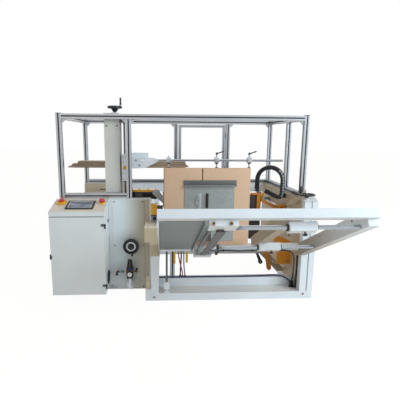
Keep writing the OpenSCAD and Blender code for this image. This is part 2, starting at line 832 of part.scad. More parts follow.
module top_crank() color("dimgray") {
    z = head_col_top + run_gap;
    bar_z([crank_x, crank_y, z], crank_d * 0.47, crank_t * 0.3);
    at([crank_x, crank_y, z + crank_t * 0.3])
        cylinder(d1 = crank_d * 0.2, d2 = crank_d * 0.55, h = crank_t * 1.5);
    bar_z([crank_x, crank_y, z + crank_t * 1.8], crank_d, crank_t);
    bar_z([crank_x + crank_d * 0.39, crank_y, z + crank_t * 2.8 - 1], handle_d * 0.9, crank_handle);
}

module belt_plate() color("goldenrod") {
    z = deck_z + belt_up;
    box([mid_post_x + belt_d * 0.4, head_col_y, z],
        [post_r - sheet, head_col_y + belt_plate_d, z + belt_plate_t]);
    box([mid_post_x + tube, head_col_y, deck_z], [mid_post_x + 2 * tube, head_col_y + arm_t, z]);
}

module drive_belt() color("black") at([0, head_col_y + arm_t + belt_d * 0.56, deck_z + belt_up - belt_h])
    linear_extrude(belt_h) difference() {
        hull() for (x = [belt_x0, belt_x1]) translate([x, 0]) circle(d = belt_d);
        hull() for (x = [belt_x0, belt_x1]) translate([x, 0]) circle(d = belt_d - 2 * belt_t);
    }

module belt_motor() color("goldenrod") {
    x1 = post_r - 2 * belt_t;
    box([post_x, -motor_w / 2, deck_z - motor_w / 2], [x1, motor_w / 2, deck_z + motor_w / 2]);
    bar_x([x1, 0, deck_z], motor_d, motor_l);
}

module sheet_wing() color("gray") {
    z = deck_z + belt_up;
    top = z + belt_plate_t;
    upright(head_col_y - sheet, head_col_y) polygon([[post_r - wing_l, z], [post_r + wing_l, z - wing_h],
        [post_r + wing_l, z - wing_h + wing_tip], [post_r, top], [post_r - wing_l, top]]);
}

module slot_bracket() color("lightsteelblue") {
    z0 = post_h + cover_h - slot_plate_low;
    difference() {
        box([post_x, house_y, z0], [post_r, house_y + bracket_t, z0 + slot_plate_h]);
        bar_y([post_x + tube / 2, house_y - 1, z0 + slot_plate_h * 0.8], fitting_d / 2, bracket_t + 2);
    }
}

module mag_frame() color("white") difference() {
    union() {
        mag_box([post_r, mag_low, mag_low], [arm_x + arm_w, -mag_low, -mag_low]);
        mag_box([arm_x, 0, -mag_low - arm_h], [arm_x + arm_w, mag_end + arm_h, -mag_low]);
        mag_box([post_r, 0, -mag_low - arm_h], [post_r + plate_t, mag_end + arm_h, -mag_low]);
    }
    behind_front();
}

module mag_bed() color("silver") mag() translate([post_r + plate_t, rear_block_y, 0]) rotate([90, 0, 0])
    linear_extrude(rear_block_y + mag_low) polygon([[0, mag_low - bed_t], [bed_w - bed_t, mag_low - bed_t],
        [bed_w - bed_t, mag_low - bed_lip], [bed_w, mag_low - bed_lip], [bed_w, mag_low], [0, mag_low]]);

module mag_rods() color("silver") mag() {
    for (x = [guide_x, guide_x + guide_gap]) translate([x, front_block_y, guide_n]) rotate([-90, 0, 0])
        cylinder(d = guide_d, h = rear_block_y - front_block_y);
    for (y = [upper_y, lower_y]) translate([rod_bracket_x1, y, cross_n]) rotate([0, 90, 0])
        cylinder(d = cross_d, h = arm_x - rod_bracket_x1);
}

module rod_brackets() color("white") {
    mag_box([rod_bracket_x0, strip_t, front_low], [rod_bracket_x1, front_block_y, mag_low]);
    difference() {
        mag_box([rod_bracket_x0, rear_block_y, strip_n - strip_t],
            [rod_bracket_x1 - trolley_over, mag_end + arm_h, mag_low]);
        behind_front();
    }
}

module guide_strip() color("gray") {
    x0 = guide_x + (guide_gap - strip_w) / 2;
    low = strip_n - strip_t;
    y0 = lower_y - cross_d;
    y1 = lower_y + cross_d;
    mag_box([x0, front_block_y - block_d / 2, low], [x0 + strip_w, rear_block_y, strip_n]);
    mag_box([x0, front_block_y - block_d / 2, strip_n], [x0 + strip_w, front_block_y - seat, front_low]);
    mag_box([x0 + strip_w, y0, low], [rod_bracket_x1, y1, strip_n]);
    mag_box([rod_bracket_x1 - tie_w, y0, strip_n], [rod_bracket_x1, y1, cross_n + cross_d * 0.7]);
}

module slider_blocks() color("white") mag() for (y = [upper_y, lower_y])
    translate([guide_plate_x, y - block_d / 2, cross_n - block_h / 2]) difference() {
        cube([block_l, block_d, block_h]);
        translate([-1, block_d / 2, block_h / 2]) rotate([0, 90, 0])
            cylinder(d = cross_d + 2 * run_gap, h = block_l + 2);
    }

module guide_plate() color("gray") {
    rear = rear_block_y - block_d / 3;
    foot = mag_low + bed_t;
    top = mag_low + plate_h;
    mag() translate([guide_plate_x, rear, 0]) rotate([90, 0, 0]) linear_extrude(rear - upper_y + block_d / 2)
        polygon([[0, mag_low], [plate_w, mag_low], [plate_w, foot], [bed_t, foot], [bed_t, top], [0, top]]);
}

module pusher_plate() color("silver") {
    top = pusher_z + pusher_h;
    box([pusher_x, pusher_y, pusher_z], [pusher_x + pusher_w, pusher_y + pusher_t, top]);
    box([pusher_x, pusher_y - flange_d, top - pusher_t], [pusher_x + pusher_w, pusher_y, top]);
}

module pusher_trolley() color("silver") {
    x0 = rod_bracket_x0;
    x1 = guide_x + guide_gap + trolley_over;
    mid = trolley_top - trolley_h / 3;
    difference() {
        mag_box([x0, trolley_y, trolley_top - trolley_h], [x1, trolley_y + trolley_l, trolley_top]);
        mag() for (x = [guide_x, guide_x + guide_gap])
            translate([x, trolley_y - 1, guide_n]) rotate([-90, 0, 0])
                cylinder(d = guide_d + 2 * run_gap, h = trolley_l + 2);
    }
    for (x = [x0, x1 - cheek_t]) along(x, x + cheek_t) polygon([mag_point(trolley_y, mid),
        mag_point(trolley_y + trolley_l, mid), [pusher_y, pusher_z], [pusher_y, pusher_z + pusher_h * 0.35]]);
}

module blanks() color("burlywood") difference() {
    box([blank_x, blank_y, bar_top], [blank_x + blank_w, blank_y + stack_t, bar_top + blank_h]);
    for (z = [bar_top - 1, bar_top + blank_h - cut_l])
        box([blank_x + cut_x, blank_y - 1, z],
            [blank_x + cut_x + cut_w, blank_y + stack_t + 1, z + cut_l + 1]);
}

module screw_block() color("white") box([post_r + height_off, tube / 2 - base_front - height_w / 2, tube],
    [post_r + height_off + height_w, tube / 2 - base_front + height_w / 2, tube + height_h]);

module height_screw() color("dimgray")
    bar_z([post_r + height_off + height_w / 2, tube / 2 - base_front, tube + height_h], height_d,
        bar_top - bar_h - tube - height_h);

module unit_upright() color("silver") profile_z([upright_x, upright_y, riser_h], upright_h);

module unit_bars() color("goldenrod") {
    y0 = upright_y + profile;
    top = riser_h + upright_h;
    for (x = [upright_x, upright_x + profile - unit_bar_w])
        box([x, y0, top - unit_bar_l], [x + unit_bar_w, y0 + fold_t, top]);
}

module wall_rod() color("silver") {
    r = slide_block / 2;
    bar_y([slide_x, slide_y + slide_block, slide_z], cross_d, slide_l - 2 * slide_block);
    for (y = [slide_y, slide_y + slide_l - slide_block])
        box([slide_x - r, y, slide_z - r], [wall_x, y + slide_block, slide_z + r]);
}

module swing_arm() color("orange") {
    r = hub_w / 2;
    x1 = slide_x - r;
    x0 = slide_x - arm_reach;
    top = slide_z + arm_reach / 2;
    y0 = hub_y + hub_l / 2;
    difference() {
        box([x1, hub_y, slide_z - r], [slide_x + r, hub_y + hub_l, slide_z + r]);
        bar_y([slide_x, hub_y - 1, slide_z], cross_d + 2 * fit, hub_l + 2);
    }
    bar = hub_w / 3;
    xk = x0 + 2 * hub_w;
    xl = x0 + hub_w;
    upright(y0, y0 + arm_t) polygon([[x1 + 1, slide_z - bar * 0.75], [x1 + 1, slide_z + bar * 0.75],
        [xk, top - hub_w], [xk, top], [x0, top], [x0, top - bar], [xl, top - bar], [xl, slide_z - 1.4 * hub_w],
        [xl + r, slide_z - 1.6 * hub_w], [xl + r, top - bar], [xk - bar, top - bar],
        [xk - bar, top - hub_w - bar]]);
}

module fold_plates() color("orange") {
    x1 = wall_x - seat;
    xm = wall_x - fold_w * 0.7;
    upright(fold_y, fold_y + fold_t) polygon([[wall_x - fold_w, fold_z + fold_h],
        [x1, fold_z + fold_h * 0.7], [x1, fold_z], [xm, fold_z], [xm, fold_z + fold_h * 0.4]]);
    upright(band_y - fold_t, band_y) translate([lever_x, lever_top]) polygon(lever_l * [[0, 0], [0.15, 0],
        [0.38, -0.9], [0.28, -1], [0.17, -0.92]]);
}

// an arch with a short left limb, and a long right limb that turns back under it
module energy_chain() color("black") {
    in = chain_r - chain_t;
    half = chain_w / 2;
    low = -chain_drop;
    at([chain_x, chain_y, chain_z]) rotate([90, 0, -chain_turn]) translate([0, 0, -half])
        linear_extrude(chain_w) {
            difference() {
                circle(r = chain_r);
                circle(r = in);
                translate([-2 * chain_r, -2 * chain_r]) square([4 * chain_r, 2 * chain_r]);
            }
            translate([-chain_r, low / 2]) square([chain_t, -low / 2 + 1]);
            polygon([[chain_r, 1], [in, 1], [in, low], [-chain_t, low + chain_t * 1.6],
                [-chain_t, low + chain_t * 0.6], [in, low - chain_t], [chain_r, low - chain_t * 0.3]]);
        }
    box([wall_x - chain_t, chain_y - chain_r * sin(chain_turn) - sheet, sill_top - holder],
        [wall_x - seat, chain_y - chain_r * sin(chain_turn) + half, sill_top - sheet]);
}

module sheet_guides() color("tan") {
    y0 = tube - base_front + tube;
    upright(y0, y0 + sheet) translate([wall_x, shoulder_z]) polygon([[-corner_l, -corner_h], [0, -corner_h],
        [0, 0], [corner_over, 0], [corner_over, corner_up]]);
    upright(band_y, band_y + sheet) translate([wall_x, lever_top]) polygon(band_l * [[-1, 0], [-0.66, 0],
        [0, -0.7], [0, -0.8], [-0.2, -0.8]]);
}

module panel_wheel() color("dimgray") {
    difference() {
        bar_y([wheel_x, wheel_y, wheel_z], wheel_d, wheel_t);
        bar_y([wheel_x, wheel_y - 1, wheel_z], wheel_d * 0.76, wheel_t * 0.6 + 1);
    }
    bar_y([wheel_x, wheel_y - wheel_t / 2, wheel_z], boss_d * 0.57, wheel_t * 2.5 - run_gap);
    bar_y([wheel_x + wheel_d * 0.095, wheel_y - handle_l, wheel_z - wheel_d * 0.41], handle_d, handle_l + 2);
}

module wheel_boss() color("silver") bar_y([wheel_x, panel_y - wheel_t, wheel_z], boss_d, wheel_t);

module column_wheel() color("dimgray") {
    x = column_wheel_x;
    y = column_wheel_y;
    bar_z([x, y, column_h + run_gap], column_boss_d * 0.83, wheel_t);
    bar_z([x, y, column_h + wheel_t - 2], wheel_d, wheel_t * 0.8);
    bar_z([x - wheel_d * 0.39, y, column_h + wheel_t], handle_d, handle_l + wheel_t * 0.7);
}

module air_unit() color("dimgray") {
    z1 = air_z + bowl_l;
    z2 = z1 + air_l;
    box([air_x - air_d * 0.43, air_y, z1 + air_l * 0.4], [air_x + air_d * 0.43, panel_y, z1 + air_l * 0.85]);
    bar_z([air_x, air_y, air_z], bowl_d, bowl_l);
    bar_z([air_x, air_y, z1], air_d, air_l);
    bar_z([air_x, air_y, z2], knob_d, knob_h);
    bar_x([air_x - fitting_l * 0.64, air_y, z1 + air_l * 0.6], fitting_d, fitting_l);
}

base_frame();
base_tray();
left_housing();
front_panel();
side_cover();
right_wall();
guard_frame();
corner_gussets();
hinge_leaves();
guard_door();
cabinet_shell();
cabinet_door();
door_knuckles();
console_screen();
main_switch();
stop_button();
side_switch();
side_vent();
head_column();
lift_screw();
head_carriage();
head_bracket();
head_rod();
rod_clamps();
drop_rods();
press_ski();
top_crank();
belt_plate();
drive_belt();
belt_motor();
sheet_wing();
slot_bracket();
mag_frame();
mag_bed();
mag_rods();
rod_brackets();
guide_strip();
slider_blocks();
guide_plate();
pusher_plate();
pusher_trolley();
blanks();
screw_block();
height_screw();
unit_upright();
unit_bars();
wall_rod();
swing_arm();
fold_plates();
energy_chain();
sheet_guides();
panel_wheel();
wheel_boss();
column_wheel();
air_unit();
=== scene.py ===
import math
import random
from itertools import product

import bmesh
import bpy
from mathutils import Matrix, Vector


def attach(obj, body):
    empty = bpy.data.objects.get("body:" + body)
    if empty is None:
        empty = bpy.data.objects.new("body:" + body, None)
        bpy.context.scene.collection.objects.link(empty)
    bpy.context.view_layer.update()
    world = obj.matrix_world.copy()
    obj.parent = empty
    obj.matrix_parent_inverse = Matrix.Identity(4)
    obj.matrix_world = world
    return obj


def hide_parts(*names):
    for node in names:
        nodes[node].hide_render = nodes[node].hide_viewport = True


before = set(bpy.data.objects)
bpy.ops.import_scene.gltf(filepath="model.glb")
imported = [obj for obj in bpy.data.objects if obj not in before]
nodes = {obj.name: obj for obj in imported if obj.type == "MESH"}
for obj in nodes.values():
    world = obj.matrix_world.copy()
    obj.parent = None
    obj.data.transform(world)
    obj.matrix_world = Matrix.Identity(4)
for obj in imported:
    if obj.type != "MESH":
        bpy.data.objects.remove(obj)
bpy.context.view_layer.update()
scene = bpy.context.scene
scene.view_settings.view_transform = "Standard"
random.seed(7)

moved = Matrix.Translation


def turned(angle, axis):
    return Matrix.Rotation(angle, 4, axis)


# The part's source counts x from the left end and y from the guard's front, in mm.
MID_X = 1005.0
MID_Y = -42.8595
TO_FRAME = Matrix.Diagonal((0.001, 0.001, 0.001, 1)) @ moved((-MID_X, -MID_Y, 0))
TILT = math.radians(27.5)
MAG = moved((0, -1036, 874)) @ turned(-TILT, "X")
CONSOLE_DEPTH, CONSOLE_RISE, CONSOLE_LIP = 230, 56, 720
SLOPE = turned(math.atan(CONSOLE_RISE / CONSOLE_DEPTH), "X")


def console(x, s):
    """A place on the sloped console, x across and s up from its lip."""
    return moved((x, -CONSOLE_DEPTH, CONSOLE_LIP)) @ SLOPE @ moved((0, s, 0))


def linked(name, data):
    obj = bpy.data.objects.new(name, data)
    scene.collection.objects.link(obj)
    return obj


# Camera

EYE = (-0.1841, -2.7235, 1.2626)
PAN, PITCH, ROLL = -0.0524, math.pi / 2 - 0.1745, 0.0068
cam = bpy.data.cameras.new("camera")
cam.sensor_width = 36
cam.lens = 31.725
cam.shift_x = 0.05
cam.shift_y = -0.00325
eye = linked("camera", cam)
aim = turned(PAN, "Z") @ turned(PITCH, "X") @ turned(ROLL, "Z")
eye.matrix_world = moved(EYE) @ aim
scene.camera = eye


# Materials

def linear(rgb):
    out = []
    for c in rgb:
        c = c / 255
        out.append(c / 12.92 if c <= 0.04045 else ((c + 0.055) / 1.055) ** 2.4)
    return (*out, 1.0)


def scaled(rgb, f):
    return tuple(min(255, c * f) for c in rgb)


class Look:
    """A material made of nodes; its lengths are in the frame's metres."""

    def __init__(self, name):
        self.mat = bpy.data.materials.new(name)
        self.mat.use_nodes = True
        self.tree = self.mat.node_tree
        self.shader = self.tree.nodes["Principled BSDF"]
        self.coords = self.add("ShaderNodeTexCoord").outputs["Object"]

    def feed(self, socket, value):
        if isinstance(value, bpy.types.NodeSocket):
            self.tree.links.new(value, socket)
        else:
            socket.default_value = value

    def add(self, kind, inputs=None, **props):
        node = self.tree.nodes.new(kind)
        for key, value in props.items():
            setattr(node, key, value)
        for key, value in (inputs or {}).items():
            self.feed(node.inputs[key], value)
        return node

    def put(self, socket, value):
        self.feed(self.shader.inputs[socket], value)

    def stretched(self, scale):
        return self.add("ShaderNodeMapping", {"Scale": scale, "Vector": self.coords}).outputs["Vector"]

    def noise(self, scale, detail=2, rough=0.5, vector=None):
        inputs = {"Scale": scale, "Detail": detail, "Roughness": rough, "Vector": vector or self.coords}
        return self.add("ShaderNodeTexNoise", inputs).outputs["Fac"]

    def cells(self, scale):
        cell = self.add("ShaderNodeTexVoronoi", {"Scale": scale, "Vector": self.coords})
        return self.add("ShaderNodeRGBToBW", {"Color": cell.outputs["Color"]}).outputs["Val"]

    def wave(self, scale, direction, distortion=0.0):
        inputs = {"Scale": scale, "Distortion": distortion, "Vector": self.coords}
        return self.add("ShaderNodeTexWave", inputs, bands_direction=direction).outputs["Fac"]

    def ramp(self, fac, stops):
        """A ramp between two stops, each a place and either a colour or a grey value."""
        node = self.add("ShaderNodeValToRGB", {"Fac": fac})
        for element, (place, colour) in zip(node.color_ramp.elements, stops):
            element.position = place
            element.color = linear(colour) if isinstance(colour, tuple) else (colour, colour, colour, 1)
        return node.outputs["Color"]

    def mix(self, fac, a, b):
        a, b = [linear(c) if isinstance(c, tuple) else c for c in (a, b)]
        return self.add("ShaderNodeMix", {0: fac, 6: a, 7: b}, data_type="RGBA").outputs[2]

    def times(self, a, b):
        return self.add("ShaderNodeMath", {0: a, 1: b}, operation="MULTIPLY").outputs[0]

    def axes(self, vector):
        return self.add("ShaderNodeSeparateXYZ", {0: vector}).outputs

    def along(self, axis, a, b):
        """0 at a and 1 at b along one axis of the frame."""
        inputs = {"From Min": a, "From Max": b, "Value": self.axes(self.coords)[axis]}
        return self.add("ShaderNodeMapRange", inputs, interpolation_type="SMOOTHSTEP").outputs["Result"]

    def tinted(self, colour, tint, axis, a, b):
        return self.mix(self.along(axis, a, b), colour, tint)

    def normal(self):
        return self.add("ShaderNodeNewGeometry").outputs["Normal"]

    def upward(self):
        """1 on faces that look up, which take the painted top shade (darker) or the painted top highlight
        (lighter).
        """
        return self.ramp(self.axes(self.normal())["Z"], [(0.55, 0.0), (0.95, 1.0)])

    def edges(self, radius=0.003):
        """Near 1 along an edge, 0 on flat ground."""
        rounded = self.add("ShaderNodeBevel", {"Radius": radius}, samples=4).outputs["Normal"]
        dot = self.add("ShaderNodeVectorMath", {0: rounded, 1: self.normal()}, operation="DOT_PRODUCT")
        return self.ramp(dot.outputs["Value"], [(0.86, 1.0), (0.985, 0.0)])

    def bump(self, height, strength, distance):
        inputs = {"Strength": strength, "Distance": distance, "Height": height}
        self.put("Normal", self.add("ShaderNodeBump", inputs).outputs["Normal"])


def paint(name, rgb, rough=0.42, vary=0.05, worn=None, scuff=0.25, coat=0.0, painted_top_light=None, painted_light_ramp=None):
    look = Look(name)
    cloud = look.noise(2.6, 4)
    colour = look.ramp(cloud, [(0.32, scaled(rgb, 1 - vary)), (0.68, scaled(rgb, 1 + vary * 0.5))])
    # painted_light_ramp turns the colour into a tint along one axis of the frame: painted shade and
    # reflections falling across a part.
    if painted_light_ramp:
        colour = look.tinted(colour, *painted_light_ramp)
    # Up-facing faces are mixed towards painted_top_light: a painted shade on the white coats' tops, a painted
    # highlight on the shaded white cover's top.
    if painted_top_light:
        colour = look.mix(look.times(look.upward(), 0.8), colour, painted_top_light)
    marks = look.ramp(look.noise(16, 8, 0.7), [(0.68, 0.0), (0.8, 1.0)])
    colour = look.mix(look.times(marks, scuff), colour, scaled(rgb, 0.78))
    chips = look.times(look.edges(), look.ramp(look.noise(45, 4, 0.6), [(0.45, 0.0), (0.62, 1.0)]))
    colour = look.mix(look.times(chips, 0.7), colour, worn or scaled(rgb, 0.7))
    look.put("Base Color", colour)
    look.put("Roughness", look.ramp(look.noise(9, 3), [(0.3, rough - 0.07), (0.7, rough + 0.08)]))
    look.put("Coat Weight", coat)
    look.bump(look.noise(420, 2), 0.06, 0.0008)
    return look.mat


def metal(name, rgb, rough=0.35, grain=(1, 1, 60), vary=0.12, metallic=1.0, scratch=0.08, painted_light_ramp=None):
    look = Look(name)
    brushed = look.noise(90, 4, 0.6, look.stretched(grain))
    cloud = look.noise(5, 4)
    colour = look.ramp(cloud, [(0.3, scaled(rgb, 1 - vary)), (0.7, rgb)])
    colour = look.mix(look.times(brushed, 0.35), colour, scaled(rgb, 0.72))
    # painted_light_ramp: a painted reflection that changes along one axis of the frame.
    if painted_light_ramp:
        colour = look.tinted(colour, *painted_light_ramp)
    colour = look.mix(look.times(look.edges(), 0.5), colour, scaled(rgb, 1.18))
    look.put("Base Color", colour)
    look.put("Metallic", metallic)
    look.put("Roughness", look.ramp(brushed, [(0.3, rough - 0.08), (0.7, rough + 0.1)]))
    look.bump(brushed, scratch, 0.0004)
    return look.mat


def galvanised(name, rgb):
    look = Look(name)
    cell = look.cells(75)
    colour = look.ramp(cell, [(0.2, scaled(rgb, 0.965)), (0.8, scaled(rgb, 1.025))])
    smear = look.ramp(look.noise(4, 5, 0.6), [(0.35, 0.0), (0.75, 1.0)])
    colour = look.mix(look.times(smear, 0.4), colour, scaled(rgb, 0.82))
    look.put("Base Color", colour)
    look.put("Metallic", 0.55)
    look.put("Roughness", look.ramp(cell, [(0.1, 0.44), (0.9, 0.54)]))
    look.bump(look.noise(240, 3), 0.05, 0.0005)
    return look.mat


def plastic(name, rgb, rough=0.45, grain=0.12, scale=900, coat=0.0):
    look = Look(name)
    colour = look.ramp(look.noise(6, 3), [(0.3, scaled(rgb, 0.86)), (0.7, scaled(rgb, 1.1))])
    rubbed = look.times(look.edges(0.002), look.ramp(look.noise(60, 3), [(0.4, 0.0), (0.6, 1.0)]))
    colour = look.mix(look.times(rubbed, 0.35), colour, tuple(min(255, c * 1.3 + 28) for c in rgb))
    look.put("Base Color", colour)
    look.put("Roughness", look.ramp(look.noise(14, 3), [(0.3, rough - 0.08), (0.7, rough + 0.08)]))
    look.put("Coat Weight", coat)
    look.bump(look.noise(scale, 2), grain, 0.0004)
    return look.mat


def card(name, rgb):
    look = Look(name)
    fibre = look.noise(70, 6, 0.65, look.stretched((1, 1, 5)))
    colour = look.ramp(fibre, [(0.3, scaled(rgb, 0.93)), (0.7, scaled(rgb, 1.03))])
    flute = look.wave(26, "X", 0.4)
    colour = look.mix(look.times(flute, 0.10), colour, scaled(rgb, 0.86))
    blot = look.ramp(look.noise(3.2, 4), [(0.35, 0.0), (0.7, 1.0)])
    colour = look.mix(look.times(blot, 0.25), colour, scaled(rgb, 0.92))
    look.put("Base Color", colour)
    look.put("Roughness", look.ramp(fibre, [(0.2, 0.78), (0.8, 0.92)]))
    look.put("Specular IOR Level", 0.25)
    look.bump(look.mix(0.5, flute, fibre), 0.12, 0.0006)
    return look.mat


def glass_panel(name, rgb):
    look = Look(name)
    colour = look.ramp(look.noise(7, 2), [(0.3, scaled(rgb, 0.93)), (0.7, scaled(rgb, 1.05))])
    look.put("Base Color", colour)
    look.put("Roughness", look.ramp(look.noise(30, 4), [(0.4, 0.07), (0.8, 0.2)]))
    look.put("Coat Weight", 0.6)
    return look.mat


POWDER = {"rough": 0.40, "vary": 0.03, "scuff": 0.12}
# TOP_SHADE is a painted warm shade on the tops of the white coats; the cabinet's console top takes a warmer
# painted shade of its own.
TOP_SHADE = (206, 201, 194)
WHITE = paint("white_powder_coat", (226, 233, 238), painted_top_light=TOP_SHADE, **POWDER)
CABINET = paint("cabinet_powder_coat", (224, 230, 232), painted_top_light=(214, 197, 176), **POWDER)
# The front panel turns beige towards its right end along x: painted shade with a warm reflection of the tan
# parts beside it.
PANEL = paint("panel_coat_painted_shade", (228, 238, 242), painted_light_ramp=((186, 178, 158), "X", -0.52, -0.30), **POWDER)
# The magazine frame turns warm beige from y -0.96 back to -0.30: painted shade with a warm reflection on the
# arms' inner faces.
MAGAZINE = paint(
    "magazine_coat_painted_shade", (226, 233, 238), painted_top_light=TOP_SHADE, painted_light_ramp=((158, 148, 134), "Y", -0.96, -0.30), **POWDER)
# The side cover: white paint drawn in a painted warm shade, with a lighter painted highlight on its top.
SHADED_WHITE = paint("white_coat_painted_shade", (196, 184, 154), rough=0.46, vary=0.04, painted_top_light=(226, 220, 206))
# SHADE_TAN: painted shade, the tan that the rear sill's left part shows in shadow.
SHADE_TAN = paint("tan_painted_shade", (196, 180, 154), rough=0.48)
# The right wall's inner face: a painted warm shade, turning to lit white towards its outer edge along x.
WALL = paint("wall_coat_painted_shade", (192, 173, 141), rough=0.48, painted_light_ramp=((226, 232, 235), "X", 0.962, 0.972))
KHAKI = paint("khaki_sheet", (180, 164, 142), rough=0.46, vary=0.06)
PROFILE = metal("anodised_profile", (188, 191, 195), rough=0.34, grain=(40, 40, 1), vary=0.06, metallic=0.75)
BLACK_METAL = paint("blackened_steel", (38, 39, 42), rough=0.40, vary=0.2, worn=(120, 120, 122), scuff=0.3)
BLACK = plastic("black_plastic", (27, 28, 31), rough=0.46)
RUBBER = plastic("black_rubber", (24, 24, 25), rough=0.72, grain=0.3, scale=380)
RED = plastic("red_plastic", (206, 30, 28), rough=0.30, grain=0.05, coat=0.4)
DARK_RED = plastic("red_rocker", (122, 26, 40), rough=0.32, grain=0.05, coat=0.3)
YELLOW_P = plastic("yellow_plastic", (240, 178, 30), rough=0.38, grain=0.06)
YELLOW = paint("yellow_paint", (238, 176, 22), rough=0.38, vary=0.08, worn=(120, 92, 40), coat=0.2)
ORANGE = paint("orange_paint", (212, 136, 22), rough=0.40, vary=0.08, worn=(120, 84, 40), coat=0.2)
GREY = paint("grey_paint", (216, 219, 214), rough=0.44, vary=0.04)
SKI = paint("ski_grey", (184, 161, 136), rough=0.40, vary=0.10, worn=(92, 80, 72), scuff=0.45)
SKI_EDGE = paint("ski_edge", (112, 96, 82), rough=0.40, vary=0.10, worn=(160, 146, 130))
BLUE_GREY = paint("blue_grey_paint", (176, 190, 202))
STEEL = metal("machined_steel", (196, 200, 204), rough=0.32, grain=(30, 1, 30), metallic=0.85)
GROUND = {"grain": (12, 12, 12), "scratch": 0.03}
# The magazine rods: a dark base colour as a painted dark reflection, lighter between x 0.19 and 0.26 as a
# painted highlight.
ROD_DARK = metal(
    "rod_painted_dark_reflection", (104, 107, 111), rough=0.24, vary=0.1, metallic=0.9,
    painted_light_ramp=((170, 178, 184), "X", 0.19, 0.26), **GROUND)
ROD = metal("ground_rod", (162, 169, 176), rough=0.20, vary=0.08, metallic=0.95, **GROUND)
ZINC = galvanised("galvanised_sheet", (160, 167, 165))
ZINC_BED = galvanised("galvanised_bed", (132, 140, 139))
ZINC_DARK = galvanised("galvanised_shade", (104, 106, 105))
BAR = metal("drawn_bar", (88, 87, 84), rough=0.42, grain=(60, 1, 60), metallic=0.5)
thread = Look("threaded_rod")
turns = thread.wave(60, "Z")
thread.put("Base Color", thread.ramp(turns, [(0.25, (44, 45, 48)), (0.8, (128, 130, 134))]))
thread.put("Metallic", 0.8)
thread.put("Roughness", thread.ramp(thread.noise(30, 3), [(0.3, 0.3), (0.7, 0.45)]))
thread.bump(turns, 0.6, 0.0012)
THREAD = thread.mat
BRASS = metal("brass", (170, 132, 82), rough=0.30, grain=(1, 20, 20))
BOLT = metal("bolt_steel", (150, 150, 148), rough=0.34, grain=(20, 20, 20), vary=0.2)
CARD = card("kraft_board", (222, 188, 158))
CARD_EDGE = card("kraft_edge", (176, 132, 98))
CARD_DARK = card("kraft_shade", (120, 82, 58))
SCREEN = glass_panel("screen_glass", (92, 108, 130))
DIAL = plastic("gauge_dial", (238, 238, 236), rough=0.35, grain=0.02)
CYAN = plastic("cyan_fitting", (28, 140, 170), rough=0.35)
NAVY = plastic("navy_sleeve", (38, 50, 92))
BLUE = plastic("blue_hose", (40, 70, 150), rough=0.38)
HOSE_RED = plastic("red_hose", (196, 74, 56), rough=0.40)
CABLE = plastic("black_cable", (44, 46, 50), rough=0.5)
DUSK = paint("dark_folder", (58, 49, 42), rough=0.5, vary=0.15, worn=(110, 96, 80))
BELT = plastic("belt_rubber", (30, 29, 28), rough=0.75, grain=0.35, scale=260)
SLOT = plastic("slot_shadow", (26, 27, 30), rough=0.8, grain=0.05)

# The slot of the record that each look stands for
SLOTS = {
    "black_plastic": (BLACK, RUBBER, SLOT, SCREEN, NAVY, CYAN, CABLE, BLUE, BLUE_GREY),
    "steel": (BOLT, STEEL, BRASS, SKI_EDGE),
    "black_metal": (BLACK_METAL, DUSK),
    "yellow_paint": (YELLOW, YELLOW_P),
    "red_plastic": (RED, DARK_RED),
    "white_paint": (WHITE, DIAL),
    "galvanised": (ZINC, ZINC_DARK),
    "board": (CARD, CARD_EDGE, CARD_DARK),
    "shade_paint": (SHADE_TAN,),
    "belt": (BELT,),
}
SLOT_OF = {mat.name: slot for slot, mats in SLOTS.items() for mat in mats}


# Mesh pieces

FRONT, BACK, LEFT, RIGHT = (0, -1, 0), (0, 1, 0), (-1, 0, 0), (1, 0, 0)
UP, DOWN = (0, 0, 1), (0, 0, -1)
TURN = 2 * math.pi
SIXTH = TURN / 6
SHARP = math.radians(35)
RING_SIDES = 36
ROUNDING = {"segments": 2, "profile": 0.6, "affect": "EDGES"}
PRISM_ORDER = {"x": (2, 0, 1), "y": (0, 2, 1), "z": (0, 1, 2)}


def spots(count, radius, first=0.0, step=None):
    """The angle and the two coordinates of each of count places on a circle."""
    step = step or TURN / count
    for k in range(count):
        a = first + step * k
        yield a, radius * math.cos(a), radius * math.sin(a)


